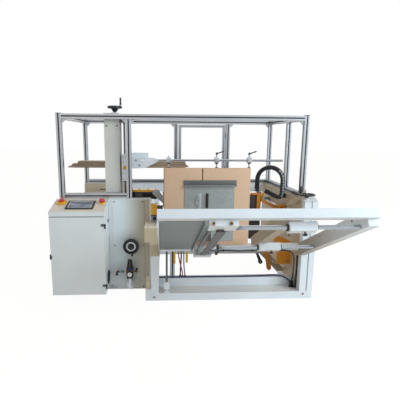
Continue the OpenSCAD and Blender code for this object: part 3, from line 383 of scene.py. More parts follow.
class Shape:
    """Collects the forms of one piece, in the source's mm."""

    def __init__(self, place=None):
        self.bm = bmesh.new()
        self.place = place or Matrix()

    def box(self, lo, hi, bevel=0.8, turn=None):
        size = [abs(b - a) for a, b in zip(lo, hi)]
        middle = [(a + b) / 2 for a, b in zip(lo, hi)]
        where = self.place @ moved(middle) @ (turn or Matrix()) @ Matrix.Diagonal((*size, 1))
        verts = bmesh.ops.create_cube(self.bm, size=1, matrix=where)["verts"]
        if bevel:
            self.rounded(verts, min(bevel, 0.42 * min(size)))
        return self

    def rounded(self, verts, offset):
        edges = list({e for v in verts for e in v.link_edges})
        bmesh.ops.bevel(self.bm, geom=edges, offset=offset, **ROUNDING)

    def facing(self, p, axis):
        spin = Vector(UP).rotation_difference(Vector(axis)).to_matrix().to_4x4()
        return self.place @ moved(p) @ spin

    def skin(self, a, b):
        """Faces between two rings of points; a ring of one point makes a cone."""
        count = max(len(a), len(b))
        for i in range(count):
            j = (i + 1) % count
            corners = (a[i % len(a)], a[j % len(a)], b[j % len(b)], b[i % len(b)])
            self.bm.faces.new(list(dict.fromkeys(corners)))

    def lathe(self, p, axis, profile, seg=36):
        """A turned form; a profile entry is radius, height and, for a six-sided ring, a word."""
        where = self.facing(p, axis)
        rings = []
        for r, h, *hexagon in profile:
            ring = []
            for a, x, y in spots(seg if r > 1e-6 else 1, r):
                pull = math.cos(SIXTH / 2) / math.cos(a % SIXTH - SIXTH / 2) if hexagon else 1
                ring.append(self.bm.verts.new(where @ Vector((pull * x, pull * y, h))))
            rings.append(ring)
        for a, b in zip(rings, rings[1:]):
            self.skin(a, b)
        for ring in (rings[0], rings[-1]):
            if len(ring) > 1:
                self.bm.faces.new(ring)
        return self

    def rod(self, p, axis, d, length, bevel=0.8, seg=32):
        r = d / 2
        b = min(bevel, r * 0.4, length * 0.4)
        profile = [(0, 0), (r - b, 0), (r, b), (r, length - b), (r - b, length), (0, length)]
        return self.lathe(p, axis, profile, seg)

    def ring(self, p, axis, outer, inner, length, bevel=0.8):
        b = min(bevel, length * 0.3, (outer - inner) * 0.2)
        R, r = outer / 2, inner / 2
        loop = [(r, b), (r + b, 0), (R - b, 0), (R, b), (R, length - b), (R - b, length), (r + b, length),
                (r, length - b)]
        where = self.facing(p, axis)
        rows = []
        for _, x, y in spots(RING_SIDES, 1):
            rows.append([self.bm.verts.new(where @ Vector((q * x, q * y, h))) for q, h in loop])
        for one, two in zip(rows, rows[1:] + rows[:1]):
            self.skin(one, two)
        return self

    def prism(self, outline, axis, a, b, bevel=0.6):
        order = PRISM_ORDER[axis]
        ends = []
        for t in (a, b):
            corners = [[(*uv, t)[k] for k in order] for uv in outline]
            ends.append([self.bm.verts.new(self.place @ Vector(corner)) for corner in corners])
        low, high = ends
        self.bm.faces.new(low)
        self.bm.faces.new(list(reversed(high)))
        self.skin(high, low)
        self.rounded(low + high, bevel)
        return self

    def tube(self, points, d, seg=12):
        pts = [self.place @ Vector(p) for p in points]
        side = None
        rings = []
        for i, p in enumerate(pts):
            ahead = pts[min(i + 1, len(pts) - 1)] - pts[max(i - 1, 0)]
            ahead.normalize()
            if side is None:
                side = ahead.orthogonal().normalized()
            side = (side - ahead * side.dot(ahead)).normalized()
            up = ahead.cross(side)
            rings.append([self.bm.verts.new(p + side * x + up * y) for _, x, y in spots(seg, d / 2)])
        for a, b in zip(rings, rings[1:]):
            self.skin(a, b)
        self.bm.faces.new(rings[0])
        self.bm.faces.new(rings[-1])
        return self

    def bolt(self, p, axis, d, h):
        """A socket-head screw with its six-sided recess."""
        r = d / 2
        return self.lathe(p, axis, [
            (r, -0.4), (r, h * 0.75), (r * 0.86, h), (r * 0.6, h, "hexagon"),
            (r * 0.58, h * 0.3, "hexagon"), (0, h * 0.2)], 24)

    def dome(self, p, axis, d, h):
        """A pan-head screw."""
        r = d / 2
        return self.lathe(p, axis, [
            (r, -0.4), (r, h * 0.2), (r * 0.85, h * 0.7), (r * 0.5, h), (r * 0.28, h), (r * 0.2, h * 0.5),
            (0, h * 0.5)], 20)

    def nut(self, p, axis, d, h):
        self.lathe(p, axis, [(d / 2, 0), (d / 2, h * 0.85), (d * 0.44, h), (d * 0.3, h)], 6)
        return self.rod(p, axis, d * 0.55, h * 1.5, seg=16)

    def made(self, name, mat, body):
        bmesh.ops.recalc_face_normals(self.bm, faces=self.bm.faces)
        mesh = bpy.data.meshes.new(name)
        self.bm.to_mesh(mesh)
        self.bm.free()
        mesh.transform(TO_FRAME)
        for poly in mesh.polygons:
            poly.use_smooth = True
        mesh.set_sharp_from_angle(angle=SHARP)
        mesh.materials.append(mat)
        obj = linked(name, mesh)
        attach(obj, body)
        return obj

    def done(self, name, mat, body="machine", slot=None, replaces=None):
        obj = self.made(name, mat, body)
        slot or SLOT_OF[mat.name]
        if replaces:
            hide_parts(replaces)


FINE = 24


def smooth(points, count):
    """A smooth run of count points through the given ones."""
    pts = [Vector(p) for p in points]
    pts = [pts[0] * 2 - pts[1]] + pts + [pts[-1] * 2 - pts[-2]]
    fine = []
    for a, b, c, d in zip(pts, pts[1:], pts[2:], pts[3:]):
        for k in range(FINE):
            t = k / FINE
            bow = (2 * a - 5 * b + 4 * c - d) * t * t + (3 * b - a - 3 * c + d) * t ** 3
            fine.append(0.5 * (2 * b + (c - a) * t + bow))
    fine.append(pts[-2])
    spans = [0.0]
    for p, q in zip(fine, fine[1:]):
        spans.append(spans[-1] + (q - p).length)
    out = []
    k = 0
    for i in range(count):
        want = spans[-1] * i / (count - 1)
        while k < len(spans) - 2 and spans[k + 1] < want:
            k += 1
        share = (want - spans[k]) / max(spans[k + 1] - spans[k], 1e-9)
        out.append(fine[k].lerp(fine[k + 1], min(1, max(0, share))))
    return out


def cord(name, points, d, mat):
    path = smooth(points, 32)
    piece = Shape().tube(path, d).made(name, mat, "machine")
    route = [tuple(TO_FRAME @ p) for p in path]
    length = sum((Vector(b) - Vector(a)).length for a, b in zip(route, route[1:]))
    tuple(route[0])


# Cords: they leave a clip, holder or sleeve on the machine and go back into it

cord("magazine_cable", [
    (1239, -198, 384), (1256, -198, 400), (1284, -198, 406), (1400, -198, 401), (1515, -198, 404),
    (1640, -198, 401), (1753, -198, 404), (1806, -196, 395), (1840, -188, 366), (1856, -174, 320),
    (1866, -150, 266), (1874, -126, 204), (1877, -109, 150), (1876, -101, 104)], 11, CABLE)
cord("tray_cable", [
    (800, -50, 136), (900, -50, 136), (1050, -48, 136), (1200, -49, 136), (1350, -50, 136),
    (1500, -49, 136), (1620, -50, 137), (1700, -54, 142), (1764, -62, 144), (1812, -74, 138),
    (1846, -88, 122), (1864, -96, 102)], 12, NAVY)
cord("red_hose", [
    (944, -24, 452), (948, -24, 430), (952, -22, 400), (954, -20, 360), (957, -19, 310), (965, -20, 260),
    (978, -22, 210), (988, -26, 165), (990, -28, 131)], 10, HOSE_RED)
cord("black_hose", [
    (962, -24, 452), (966, -22, 428), (972, -16, 396), (977, -12, 350), (979, -10, 300), (977, -10, 250),
    (974, -12, 200), (972, -14, 160), (972, -16, 131)], 12, CABLE)
cord("blue_hose", [
    (980, -24, 452), (984, -22, 430), (992, -18, 400), (998, -15, 350), (1000, -14, 300), (1000, -14, 250),
    (1003, -15, 200), (1008, -18, 160), (1010, -20, 131)], 10, BLUE)


# World, lights and floor

world = bpy.data.worlds.new("studio")
scene.world = world
world.use_nodes = True
wt = world.node_tree
dim = wt.nodes["Background"]
dim.inputs["Color"].default_value = (0.95, 0.97, 1.0, 1)
dim.inputs["Strength"].default_value = 0.42


def seen_rays(tree):
    """1 for a ray that ends in the picture: from the camera, mirrored or through glass."""
    path = tree.nodes.new("ShaderNodeLightPath")
    seen = path.outputs["Is Camera Ray"]
    for kind in ("Is Glossy Ray", "Is Transmission Ray"):
        either = tree.nodes.new("ShaderNodeMath")
        either.operation = "MAXIMUM"
        tree.links.new(seen, either.inputs[0])
        tree.links.new(path.outputs[kind], either.inputs[1])
        seen = either.outputs[0]
    return seen


white = wt.nodes.new("ShaderNodeBackground")
white.inputs["Color"].default_value = (1, 1, 1, 1)
blend = wt.nodes.new("ShaderNodeMixShader")
wt.links.new(seen_rays(wt), blend.inputs[0])
wt.links.new(dim.outputs[0], blend.inputs[1])
wt.links.new(white.outputs[0], blend.inputs[2])
wt.links.new(blend.outputs[0], wt.nodes["World Output"].inputs["Surface"])


def softbox(name, where, aim, size, power, colour=(1, 1, 1)):
    data = bpy.data.lights.new(name, "AREA")
    data.shape = "RECTANGLE"
    data.size = size[0]
    data.size_y = size[1]
    data.energy = power
    data.color = colour
    look = (Vector(aim) - Vector(where)).to_track_quat("-Z", "Y").to_matrix().to_4x4()
    linked(name, data).matrix_world = moved(where) @ look


softbox("key", (-2.6, -4.2, 3.4), (0, -0.3, 0.6), (2.6, 2.0), 24, (1.0, 0.95, 0.86))
softbox("fill", (4.2, -2.8, 2.7), (0.1, 0, 0.6), (2.6, 2.4), 212, (0.78, 0.91, 1.0))
softbox("top", (0.2, 0.4, 4.6), (0, 0, 0.6), (3.0, 2.4), 24, (1.0, 0.97, 0.92))
softbox("rear", (0.4, 4.6, 2.6), (0, 0, 0.7), (3.0, 2.0), 24)

ground = Look("floor")
ground.put("Base Color", ground.ramp(ground.noise(1.5, 2), [(0.3, (222, 212, 198)), (0.7, (228, 219, 206))]))
ground.put("Roughness", 0.7)
glow = ground.add("ShaderNodeEmission", {"Strength": 1.05}).outputs[0]
share = ground.times(seen_rays(ground.tree), 0.91)
lift = ground.add("ShaderNodeMixShader", {0: share, 1: ground.shader.outputs[0], 2: glow})
ground.tree.links.new(lift.outputs[0], ground.tree.nodes["Material Output"].inputs["Surface"])
floor_mesh = bpy.data.meshes.new("floor")
FLOOR_HALF, FLOOR_Z = 30, -0.0006
FLOOR_CORNERS = [(x * FLOOR_HALF, y * FLOOR_HALF, FLOOR_Z) for x, y in ((-1, -1), (1, -1), (1, 1), (-1, 1))]
floor_mesh.from_pydata(FLOOR_CORNERS, [], [(0, 1, 2, 3)])
floor_mesh.materials.append(ground.mat)
floor = linked("floor", floor_mesh)


# CAD nodes: materials and softened edges

FINISHES = (
    (WHITE, "base_frame base_tray left_housing head_bracket rod_brackets slider_blocks screw_block"),
    (CABINET, "cabinet_shell cabinet_door"), (MAGAZINE, "mag_frame"), (PANEL, "front_panel"),
    (SHADED_WHITE, "side_cover"), (WALL, "right_wall"), (KHAKI, "guide_plate sheet_guides"), (GREY, "head_column"),
    (PROFILE, "guard_frame corner_gussets guard_door unit_upright"), (SKI, "press_ski"),
    (BLACK, "hinge_leaves door_knuckles console_screen side_vent top_crank energy_chain panel_wheel"),
    (BLACK, "column_wheel air_unit"), (RED, "main_switch stop_button"), (DARK_RED, "side_switch"),
    (THREAD, "lift_screw height_screw"), (STEEL, "head_carriage rod_clamps drop_rods wheel_boss"),
    (ROD, "head_rod wall_rod"), (ROD_DARK, "mag_rods"), (BAR, "guide_strip"), (BELT, "drive_belt"),
    (YELLOW, "belt_plate belt_motor unit_bars"), (ORANGE, "swing_arm fold_plates"), (CARD, "blanks"),
    (ZINC, "sheet_wing pusher_plate pusher_trolley"), (ZINC_BED, "mag_bed"), (BLUE_GREY, "slot_bracket"),
)
FINISH = {name: mat for mat, names in FINISHES for name in names.split()}
THIN = "mag_bed pusher_plate guide_plate sheet_wing sheet_guides cabinet_shell cabinet_door".split()
WELD_GAP, THIN_EDGE, SOFT_EDGE = 0.00002, 0.0006, 0.0014
for name, obj in nodes.items():
    obj.data.materials.clear()
    obj.data.materials.append(FINISH[name])
    weld = obj.modifiers.new("weld", "WELD")
    weld.merge_threshold = WELD_GAP
    soft = obj.modifiers.new("soft_edges", "BEVEL")
    soft.limit_method = "ANGLE"
    soft.angle_limit = math.radians(40)
    soft.width = THIN_EDGE if name in THIN else SOFT_EDGE
    soft.segments = 2
    soft.use_clamp_overlap = True
    soft.harden_normals = True
    for poly in obj.data.polygons:
        poly.use_smooth = True
    even = obj.modifiers.new("even_normals", "WEIGHTED_NORMAL")
    even.keep_sharp = True


# Guard: dark slots, post caps, gusset screws, hinge screws, door grip

WIDE = 40
SEAT = 0.2
GUARD_X, GUARD_Y = (20, 1940), (0, 930)
SILL, RAIL, TOP = 778, 1390, 1430
RAILS = (
    (60, 1940, 0, RAIL), (60, 1940, 930, RAIL), (60, 546, 0, SILL), (60, 949, 930, SILL),
    (989, 1491, 930, SILL), (1531, 1940, 930, SILL))
GUARD_RUNS = [((x, y, SILL), (x + WIDE, y + WIDE, TOP)) for x, y in product(GUARD_X, GUARD_Y)]
for x, y in ((546, 0), (949, 930), (1491, 930)):
    GUARD_RUNS.append(((x, y, SILL), (x + WIDE, y + WIDE, RAIL - SEAT)))
GUARD_RUNS.append(((1940, 380, SILL + WIDE + SEAT), (1980, 420, RAIL - SEAT)))
for a, b, y, z in RAILS:
    GUARD_RUNS.append(((a + SEAT, y, z), (b - SEAT, y + WIDE, z + WIDE)))
for x, z in ((20, RAIL), (1940, RAIL), (1940, SILL)):
    GUARD_RUNS.append(((x, WIDE + SEAT, z), (x + WIDE, 930 - SEAT, z + WIDE)))
GUARD_RUNS.append(((886, -50, 130), (926, -10, 560)))
SLOT_PROUD, SLOT_DEPTH, SLOT_LIP = 0.25, 5.8, 14.9


def slot_strips(shape, lo, hi):
    """A strip in the slot of each long side of one profile."""
    size = [b - a for a, b in zip(lo, hi)]
    run = size.index(max(size))
    across = [k for k in range(3) if k != run]
    for k, other in (across, reversed(across)):
        for near, far in ((lo[k] - SLOT_PROUD, lo[k] + SLOT_DEPTH), (hi[k] - SLOT_DEPTH, hi[k] + SLOT_PROUD)):
            a, b = list(lo), list(hi)
            a[run], b[run] = lo[run] + 1, hi[run] - 1
            a[k], b[k] = near, far
            a[other], b[other] = lo[other] + SLOT_LIP, hi[other] - SLOT_LIP
            shape.box(a, b, 0)


strips = Shape()
for lo, hi in GUARD_RUNS:
    slot_strips(strips, lo, hi)
strips.done("profile_slots", SLOT)

caps = Shape()
for x, y in product(GUARD_X, GUARD_Y):
    caps.box((x + 0.5, y + 0.5, TOP + 0.1), (x + 39.5, y + 39.5, TOP + 4), 1.6)
caps.done("post_caps", BLACK)

GUSSETS = (
    (60, 0, 1), (1940, 0, -1), (60, 930, 1), (1940, 930, -1), (546, 0, -1), (586, 0, 1), (949, 930, -1),
    (1531, 930, 1))
screws = Shape()
for x, y, way in GUSSETS:
    slope = Vector((way, 0, -1)).normalized()
    middle = Vector((x + way * 17, y + 20, RAIL - 17))
    for off in (-9, 9):
        along = Vector((way, 0, 1)).normalized() * off
        screws.bolt(middle + along - slope * 0.3, slope, 9, 4)
screws.done("gusset_screws", BOLT)

HINGE_SIDES = (("hinge_screws", "machine", 1512, 12, 7), ("door_hinge_screws", "guard_door", 1466, 7, 33))
for z in (908, 1250):
    for name, body, x, step, low in HINGE_SIDES:
        pair = Shape()
        for k in (0, 1):
            pair.bolt((x + step * k, 973.8, z + low + 11 * k), BACK, 8, 3)
        pair.done(f"{name}_{z}", BOLT, body)
grip = Shape().tube(smooth([
    (1010, 969, 1040), (1010, 982, 1044), (1010, 989, 1062), (1010, 989, 1120), (1010, 982, 1138),
    (1010, 969, 1142)], 26), 11, 14)
for z in (1040, 1142):
    grip.rod((1010, 969.5, z), BACK, 20, 4)
grip.done("guard_door_grip", BLACK, "guard_door")
DOOR_SLOTS = (
    (1008, 1012, 827, 1380), (1467, 1471, 827, 1380), (1012, 1467, 837, 841), (1012, 1467, 1367, 1371))
seams = Shape()
for x0, x1, z0, z1 in DOOR_SLOTS:
    for y in (939.6, 969.8):
        seams.box((x0, y, z0), (x1, y + 0.6, z1), 0)
seams.done("guard_door_slots", SLOT, "guard_door")


# Cabinet and console

def clipped(x0, x1, y0, y1, cut):
    """A rectangle with its corners cut off."""
    return [(x0, y0 + cut), (x0 + cut, y0), (x1 - cut, y0), (x1, y0 + cut), (x1, y1 - cut), (x1 - cut, y1),
            (x0 + cut, y1), (x0, y1 - cut)]


PLATE = console(209, 40)
screen = Shape(PLATE).prism(clipped(-103, 103, 0, 148, 4), "z", 0, 5.6, 1.2)
screen.done("screen_bezel", BLACK, replaces="console_screen")
rim = Shape(PLATE)
for x0, x1, y0, y1 in ((-88, 88, 20, 28), (-88, 88, 126, 134), (-88, -80, 28, 126), (80, 88, 28, 126)):
    rim.box((x0, y0, 5), (x1, y1, 7), 0.5)
rim.done("screen_rim", STEEL)
Shape(PLATE).box((-83, 27, 4.8), (83, 129, 6.2), 0.3).done("screen_glass", SCREEN)

MAIN = console(60, 150)
base = Shape(MAIN).prism(clipped(-30, 30, -30, 30, 6), "z", 0, 16, 2.5).ring((0, 0, 15.5), UP, 58, 50, 4)
base.done("main_switch_plate", YELLOW_P)
knob = Shape(MAIN).lathe((0, 0, 14), UP, [(24, 0), (25, 8), (24, 13), (20, 15.5), (0, 16)], 40)
knob.prism([(-9, -26), (9, -26), (11, -8), (11, 8), (9, 26), (-9, 26), (-11, 8), (-11, -8)], "z", 26, 38, 3)
knob.done("main_switch_knob", RED, replaces="main_switch")
Shape(MAIN).box((-1.4, 6, 37.6), (1.4, 22, 38.4), 0.2).done("main_switch_mark", DIAL)

STOP = console(364.4, 150)
collar = Shape(STOP).lathe((0, 0, 0), UP, [(24, 0), (24, 6), (22, 9.2), (14, 9.6), (14, 12)], 40)
collar.done("stop_collar", YELLOW_P)
CAP = [(14, 0), (14, 4), (19, 6), (21.5, 10), (22, 17), (20, 22.5), (13, 26.2), (0, 27)]
stop = Shape(STOP).lathe((0, 0, 9), UP, CAP, 40)
stop.done("stop_mushroom", RED, replaces="stop_button")

ROCKER_RIM = ((-62, -33.2, 592, 596), (-62, -33.2, 620, 624), (-62, -58, 596, 620), (-37.2, -33.2, 596, 620))
surround = Shape()
for y0, y1, z0, z1 in ROCKER_RIM:
    surround.box((398, y0, z0), (399.2, y1, z1), 0.4)
surround.done("rocker_frame", BLACK)
rocker = Shape()
rocker.prism([(398.2, 596.5), (402, 596.5), (403, 608), (405.5, 619.5), (398.2, 619.5)], "y", -57.6, -37.6)
rocker.done("side_rocker", DARK_RED, replaces="side_switch")

VENT = moved((398, -98, 165))
vent = Shape(VENT)
for outer, deep in ((110, 5.4), (84, 4), (60, 4), (36, 4)):
    vent.ring((0, 0, 0), RIGHT, outer, outer - 9, deep)
for k in range(4):
    vent.box((0.2, -1.5, -52), (3.5, 1.5, 52), 0.4, turn=turned(math.pi * k / 4, "X"))
vent.rod((0, 0, 0), RIGHT, 22, 5.8)
for y, z in product((-38, 38), repeat=2):
    vent.dome((3.4, y, z), RIGHT, 7, 1.5)
vent.done("vent_guard", BLACK, replaces="side_vent")
Shape(VENT).rod((0, 0, 0), RIGHT, 104, 1.4, 0.3).done("vent_filter", RUBBER)

lock = Shape().box((-7, -233, 358), (5, -212, 396), 2.2).rod((4, -230.5, 377), FRONT, 16, 4)
lock.done("cabinet_lock", BLACK, "cabinet_door")
screws = Shape()
for x, z in product((392, 380), (149, 618)):
    screws.dome((x, -233, z), FRONT, 6, 1.6)
screws.done("knuckle_screws", BOLT, "cabinet_door")
Shape().box((3, -226, 676), (395, -213, 679), 0.5).done("door_seal", RUBBER)


# Front panel: seam, screws, wheel and air unit

Shape().box((681.2, -8.5, 22), (682.8, -7.8, 768), 0).done("panel_seam", SLOT)
screws = Shape()
for x, z in product((669, 444), (752, 393, 40)):
    screws.dome((x, -8, z), FRONT, 11, 3)
screws.done("panel_screws", BLACK_METAL)

WHEEL = moved((575, -44, 397))
wheel = Shape(WHEEL).lathe((0, 0, 0), FRONT, [
    (0, 2), (46, 2), (49, 0.4), (60, 0), (63, 3), (63, 14), (60.5, 18), (52, 18), (48.4, 15), (46, 8.5),
    (30, 7.5), (17.1, 8), (17.1, 26), (15, 27), (0, 27)], 56)
wheel.rod((0, 17.4, 0), FRONT, 34, 18)
wheel.lathe((12, -14, -51.7), FRONT, [
    (5, 0), (5, 5), (6.5, 6), (9, 14), (8.2, 30), (9, 50), (8, 60), (5, 63.5), (0, 64)], 28)
for _, x, z in spots(20, 62):
    wheel.box((x - 2, -12, z - 2), (x + 2, -4, z + 2))
wheel.done("panel_handwheel", BLACK, "panel_wheel", replaces="panel_wheel")
Shape(WHEEL).ring((0, -7.8, 0), FRONT, 76, 54, 5).done("handwheel_ring", STEEL, "panel_wheel")
Shape(WHEEL).nut((0, -26.6, 0), FRONT, 15, 5).done("handwheel_nut", BLACK_METAL, "panel_wheel", slot="steel")

AIR = moved((565, -64, 40))
bowl = Shape(AIR).lathe((0, 0, 0), UP, [
    (0, 0), (4, 0), (4, 7), (8, 8), (9, 14), (17, 18), (23, 26), (24, 34), (24, 84), (22, 88), (22, 100),
    (0, 100)], 40)
for _, x, y in spots(3, 23.6, math.radians(-150), SIXTH):
    bowl.box((x - 2.4, y - 1.2, 34), (x + 2.4, y + 1.2, 78), 0.6)
bowl.done("air_bowl", STEEL)
body = Shape(AIR).box((-25, -25, 100), (25, 25, 134), 5).box((-28, -26, 134), (28, 27, 176), 3)
body.lathe((0, 0, 176), UP, [(27, 0), (27, 4), (23, 8), (23, 14)], 40)
body.lathe((0, 0, 190), UP, [(21, 0), (21, 28), (18.5, 31), (18.5, 52), (16, 62), (0, 66)], 40)
for a, x, y in spots(18, 20.4):
    body.box((x - 1.6, y - 1.4, 193), (x + 1.6, y + 1.4, 216), 0.5, turn=turned(a, "Z"))
for z in (224, 232, 240):
    body.ring((0, 0, z), UP, 39, 33, 4)
body.box((-18, 26, 140), (18, 55.8, 172), 1.5)
body.done("air_body", BLACK, replaces="air_unit")
Shape(AIR).ring((0, 0, 179), UP, 55, 40, 9).done("air_band", NAVY)
CASE = [(6, 0), (6, 5), (19, 6), (20, 8), (20, 14), (18.5, 15.5), (17, 14.2)]
Shape(AIR).lathe((0, -25, 142), FRONT, CASE, 44).done("gauge_case", BLACK)
Shape(AIR).rod((0, -32, 142), FRONT, 35, 8, 0.3, 44).done("gauge_dial", DIAL)
hand = Shape(AIR).box((-0.7, -40.6, 140), (0.7, -39.9, 155), 0.2, turn=turned(0.7, "Y"))
hand.rod((0, -39.8, 142), FRONT, 4, 1.2)
for _, x, z in spots(9, 14, math.radians(-40), math.radians(32.5)):
    hand.box((-x - 0.6, -40.3, z + 141.4), (-x + 0.6, -39.9, z + 142.6), 0)
hand.done("gauge_hand", BLACK)
brass = Shape(AIR)
brass.rod((-50, 0, 154), RIGHT, 15, 24).nut((-70, 0, 154), LEFT, 19, 8).rod((26, 0, 154), RIGHT, 15, 14)
brass.nut((28, 0, 154), RIGHT, 20, 6).done("air_nipples", BRASS)
valve = Shape(AIR).rod((-72, 0, 154), RIGHT, 20, 26, 2).ring((-63, 0, 154), RIGHT, 22, 16, 8)
valve.done("air_valve", CYAN)
BENDS = (
    [(-84, 0, 154), (-94, 0, 154), (-101, -1, 151), (-104, -4, 143), (-104, -5, 130)],
    [(34, 0, 154), (42, 0, 154), (50, 0, 157), (54, 0, 165), (54, 0, 178)])
elbow = Shape(AIR).ring((-104, -5, 134), DOWN, 21, 12, 8).ring((54, 0, 174), UP, 20, 12, 8)
for bend in BENDS:
    elbow.tube(smooth(bend, 18), 17, 16)
elbow.done("air_elbows", BLACK)


# Top crank and column wheel

CRANK_X, CRANK_Y, HANDLE_X = 452.04, 120, 497.3
crank = Shape().lathe((CRANK_X, CRANK_Y, 1446), UP, [
    (11.6, 0), (12, 2), (29, 28), (32, 31), (52, 31.5), (57, 34), (57.8, 40), (57, 47), (52, 50.3),
    (40, 49), (16, 48), (14, 53), (0, 54)], 56)
crank.lathe((HANDLE_X, CRANK_Y, 1494), UP, [
    (6, 0), (6, 4), (7.5, 6), (8.1, 22), (7, 40), (7.8, 58), (6, 66), (0, 67.5)], 28)
crank.done("crank_wheel", BLACK, "top_crank", replaces="top_crank")
chrome = Shape().rod((CRANK_X, CRANK_Y, 1440.6), UP, 54, 5.4)
chrome.box((394.4, 110, 1480), (402, 130, 1493), 2)
chrome.lathe((HANDLE_X, CRANK_Y, 1494.5), UP, [(9, 0), (12, 3), (12, 6), (9, 9), (6, 9.5)], 28)
chrome.done("crank_bands", STEEL, "top_crank")

HUB = moved((1933, -150, 0))
KNOB_X = -49.1
wheel = Shape(HUB).tube([(x, y, 829) for _, x, y in spots(57, 56, 0, TURN / 56)], 14, 14)
wheel.lathe((0, 0, 806.6), UP, [(15, 0), (15, 14), (19, 16), (19, 28), (15, 30), (0, 30)])
for a, x, y in spots(3, 34, math.radians(200)):
    wheel.box((x - 21, y - 5, 825), (x + 21, y + 5, 832), 1.5, turn=turned(a, "Z"))
wheel.lathe((KNOB_X, 0, 833), UP, [
    (5, 0), (5, 4), (7, 6), (9, 20), (8, 40), (8.6, 56), (6, 63), (0, 63.6)], 28)
wheel.done("column_handwheel", BLACK, "column_wheel", replaces="column_wheel")
nut = Shape(HUB).nut((0, 0, 836), UP, 16, 6).lathe((KNOB_X, 0, 831), UP, [(10, 0), (10, 4), (7, 6)], 24)
nut.done("column_wheel_nut", STEEL, "column_wheel")


# Press head: screws, lift nut, clamps with levers, rod tips, ski ridges

Shape().bolt((392, 60, 1342), FRONT, 15, 6).bolt((470, 60, 1342), FRONT, 15, 6).done("column_screws", BOLT)
nut = Shape().box((512, 70, 1000), (538, 80.2, 1028), 2).rod((525, 70.4, 1014), FRONT, 12, 5)
nut.done("lift_nut", YELLOW_P, "press_head")
bolts = Shape()
for x, z in product((511, 540), (922, 968, 1060, 1102)):
    bolts.bolt((x, 80, z), FRONT, 10, 5)
for x, z in ((576, 1030), (612, 1070), (640, 1030), (560, 1078)):
    bolts.bolt((x, 126, z), FRONT, 13, 6)
bolts.done("head_bolts", BOLT, "press_head")

CLAMP_X = (878.5, 1275.5, 1548.5)
ROD_Y, ROD_Z = 146, 1070
CLAMP_TOP = 1093.6
clamps, slits, levers, tips = Shape(), Shape(), Shape(), Shape()
for x in CLAMP_X:
    clamps.prism([
        (122, 1055), (127, 1050.4), (165, 1050.4), (170, 1055), (170, 1086), (163, 1094), (129, 1094),
        (122, 1086)], "x", x - 18, x + 18, 1.6)
    clamps.ring((x - 23, ROD_Y, ROD_Z), RIGHT, 31, 18.4, 46, 1.5)
    clamps.bolt((x, 122, 1060), FRONT, 11, 5)
    slits.box((x - 18.4, 144.6, 1081), (x + 18.4, 147.4, 1094.4), 0)
    if x == CLAMP_X[0]:
        clamps.lathe((x, ROD_Y, CLAMP_TOP), UP, [(9, 0), (9, 3), (6, 5), (6, 13), (4, 15), (0, 15)], 24)
    else:
        clamps.lathe((x, ROD_Y, CLAMP_TOP), UP, [(10, 0), (10, 4), (7, 6), (7, 27)], 24)
        levers.lathe((x, ROD_Y, 1118), UP, [(9.5, 0), (9.5, 12), (6.5, 17), (0, 18)], 24)
        levers.lathe((x, ROD_Y, 1126), (0.95, 0, 0.31), [
            (5.5, 0), (5.5, 8), (4.4, 30), (5.6, 54), (4.4, 62), (0, 63)], 20)
    tips.ring((x, ROD_Y, 997), UP, 24, 13, 18, 2)
    tips.ring((x, ROD_Y, 1040), UP, 24, 12.2, 10)
clamps.done("clamp_blocks", STEEL, "press_head", replaces="rod_clamps")
slits.done("clamp_slits", SLOT, "press_head")
levers.done("clamp_levers", BLACK, "press_head")
tips.done("rod_tips", RUBBER, "press_head")
ridges = Shape()
for x0, x1, z in ((115, 1022, 1041), (64, 1027, 1027), (64, 1044, 1013), (88, 1000, 996.4)):
    ridges.box((x0, 267.6, z), (x1, 270.3, z + 3.4), 0.6)
ridges.done("ski_ridges", SKI_EDGE, "press_head")


# Discharge drive: plate, belt ribs and pulleys, wing flare, motor; slot stud and unit arms

Shape().box((560.4, 60, 821), (792, 114, 838), 1.5).done("belt_plate_top", YELLOW, replaces="belt_plate")
# The black box under the yellow top fills the belt plate's lower part: a belt guide, partly painted shade
# under the yellow top. A narrower black plate below it reaches down to z 690.
belt_guide_shade = Shape().box((561, 60.4, 806.2), (791.4, 113.6, 821.2), 1).box((606, 60.2, 690), (666, 74, 806.4), 1.5)
belt_guide_shade.done("belt_guide_and_shade", BLACK_METAL)
RIB_PITCH, RIB_W = 8, 3.4
ribs = Shape()
for k in range(22):
    x = 589 + RIB_PITCH * k
    ribs.box((x, 75.2, 762), (x + RIB_W, 76.6, 804), 0.3)
ribs.done("belt_ribs", BELT)
FLARE = [(826, 822), (841, 822), (891, 714), (898, 647), (849, 648), (830, 707)]
Shape().prism(FLARE, "y", 52.2, 55.8).done("wing_flare", ZINC)
pulleys = Shape()
for x in (585.6, 765.4):
    pulleys.lathe((x, 94.2, 756), UP, [(0, 0), (8, 0), (17, 1), (17, 3), (12.6, 4), (12.6, 50), (0, 50)])
pulleys.done("belt_pulleys", STEEL)
bolts = Shape()
for x in (580, 640, 712, 772):
    bolts.bolt((x, 87, 838), UP, 13, 6)
bolts.done("belt_plate_bolts", BOLT)
gear = Shape().box((736.4, -40, 650), (786, 40, 730), 3)
for x, y in product((746, 776), (-30, 30)):
    gear.bolt((x, y, 730), UP, 9, 4)
gear.done("motor_gearbox", YELLOW, replaces="belt_motor")
FIN_PITCH = 6
profile = [(0, 0), (33, 0)]
for k in range(6):
    h = FIN_PITCH * k
    profile += [(33, 3 + h), (30, 4 + h), (30, 6 + h), (33, 7 + h)]
profile += [(33, 41), (28, 44), (0, 44)]
motor = Shape().lathe((786, 0, 690), RIGHT, profile, 40).box((736.6, -40.6, 640), (785.6, 40, 650.2), 1)
motor.done("motor_body", BLACK_METAL)

stud = Shape()
stud.lathe((762, -4, 615), FRONT, [(15, 0), (15, 4), (11, 6), (9.5, 2.5), (5.5, 2.5), (5.5, 6), (0, 6.4)], 30)
stud.box((757, -4.8, 556), (761, -3.8, 582), 0.2).done("slot_stud", BLACK_METAL)

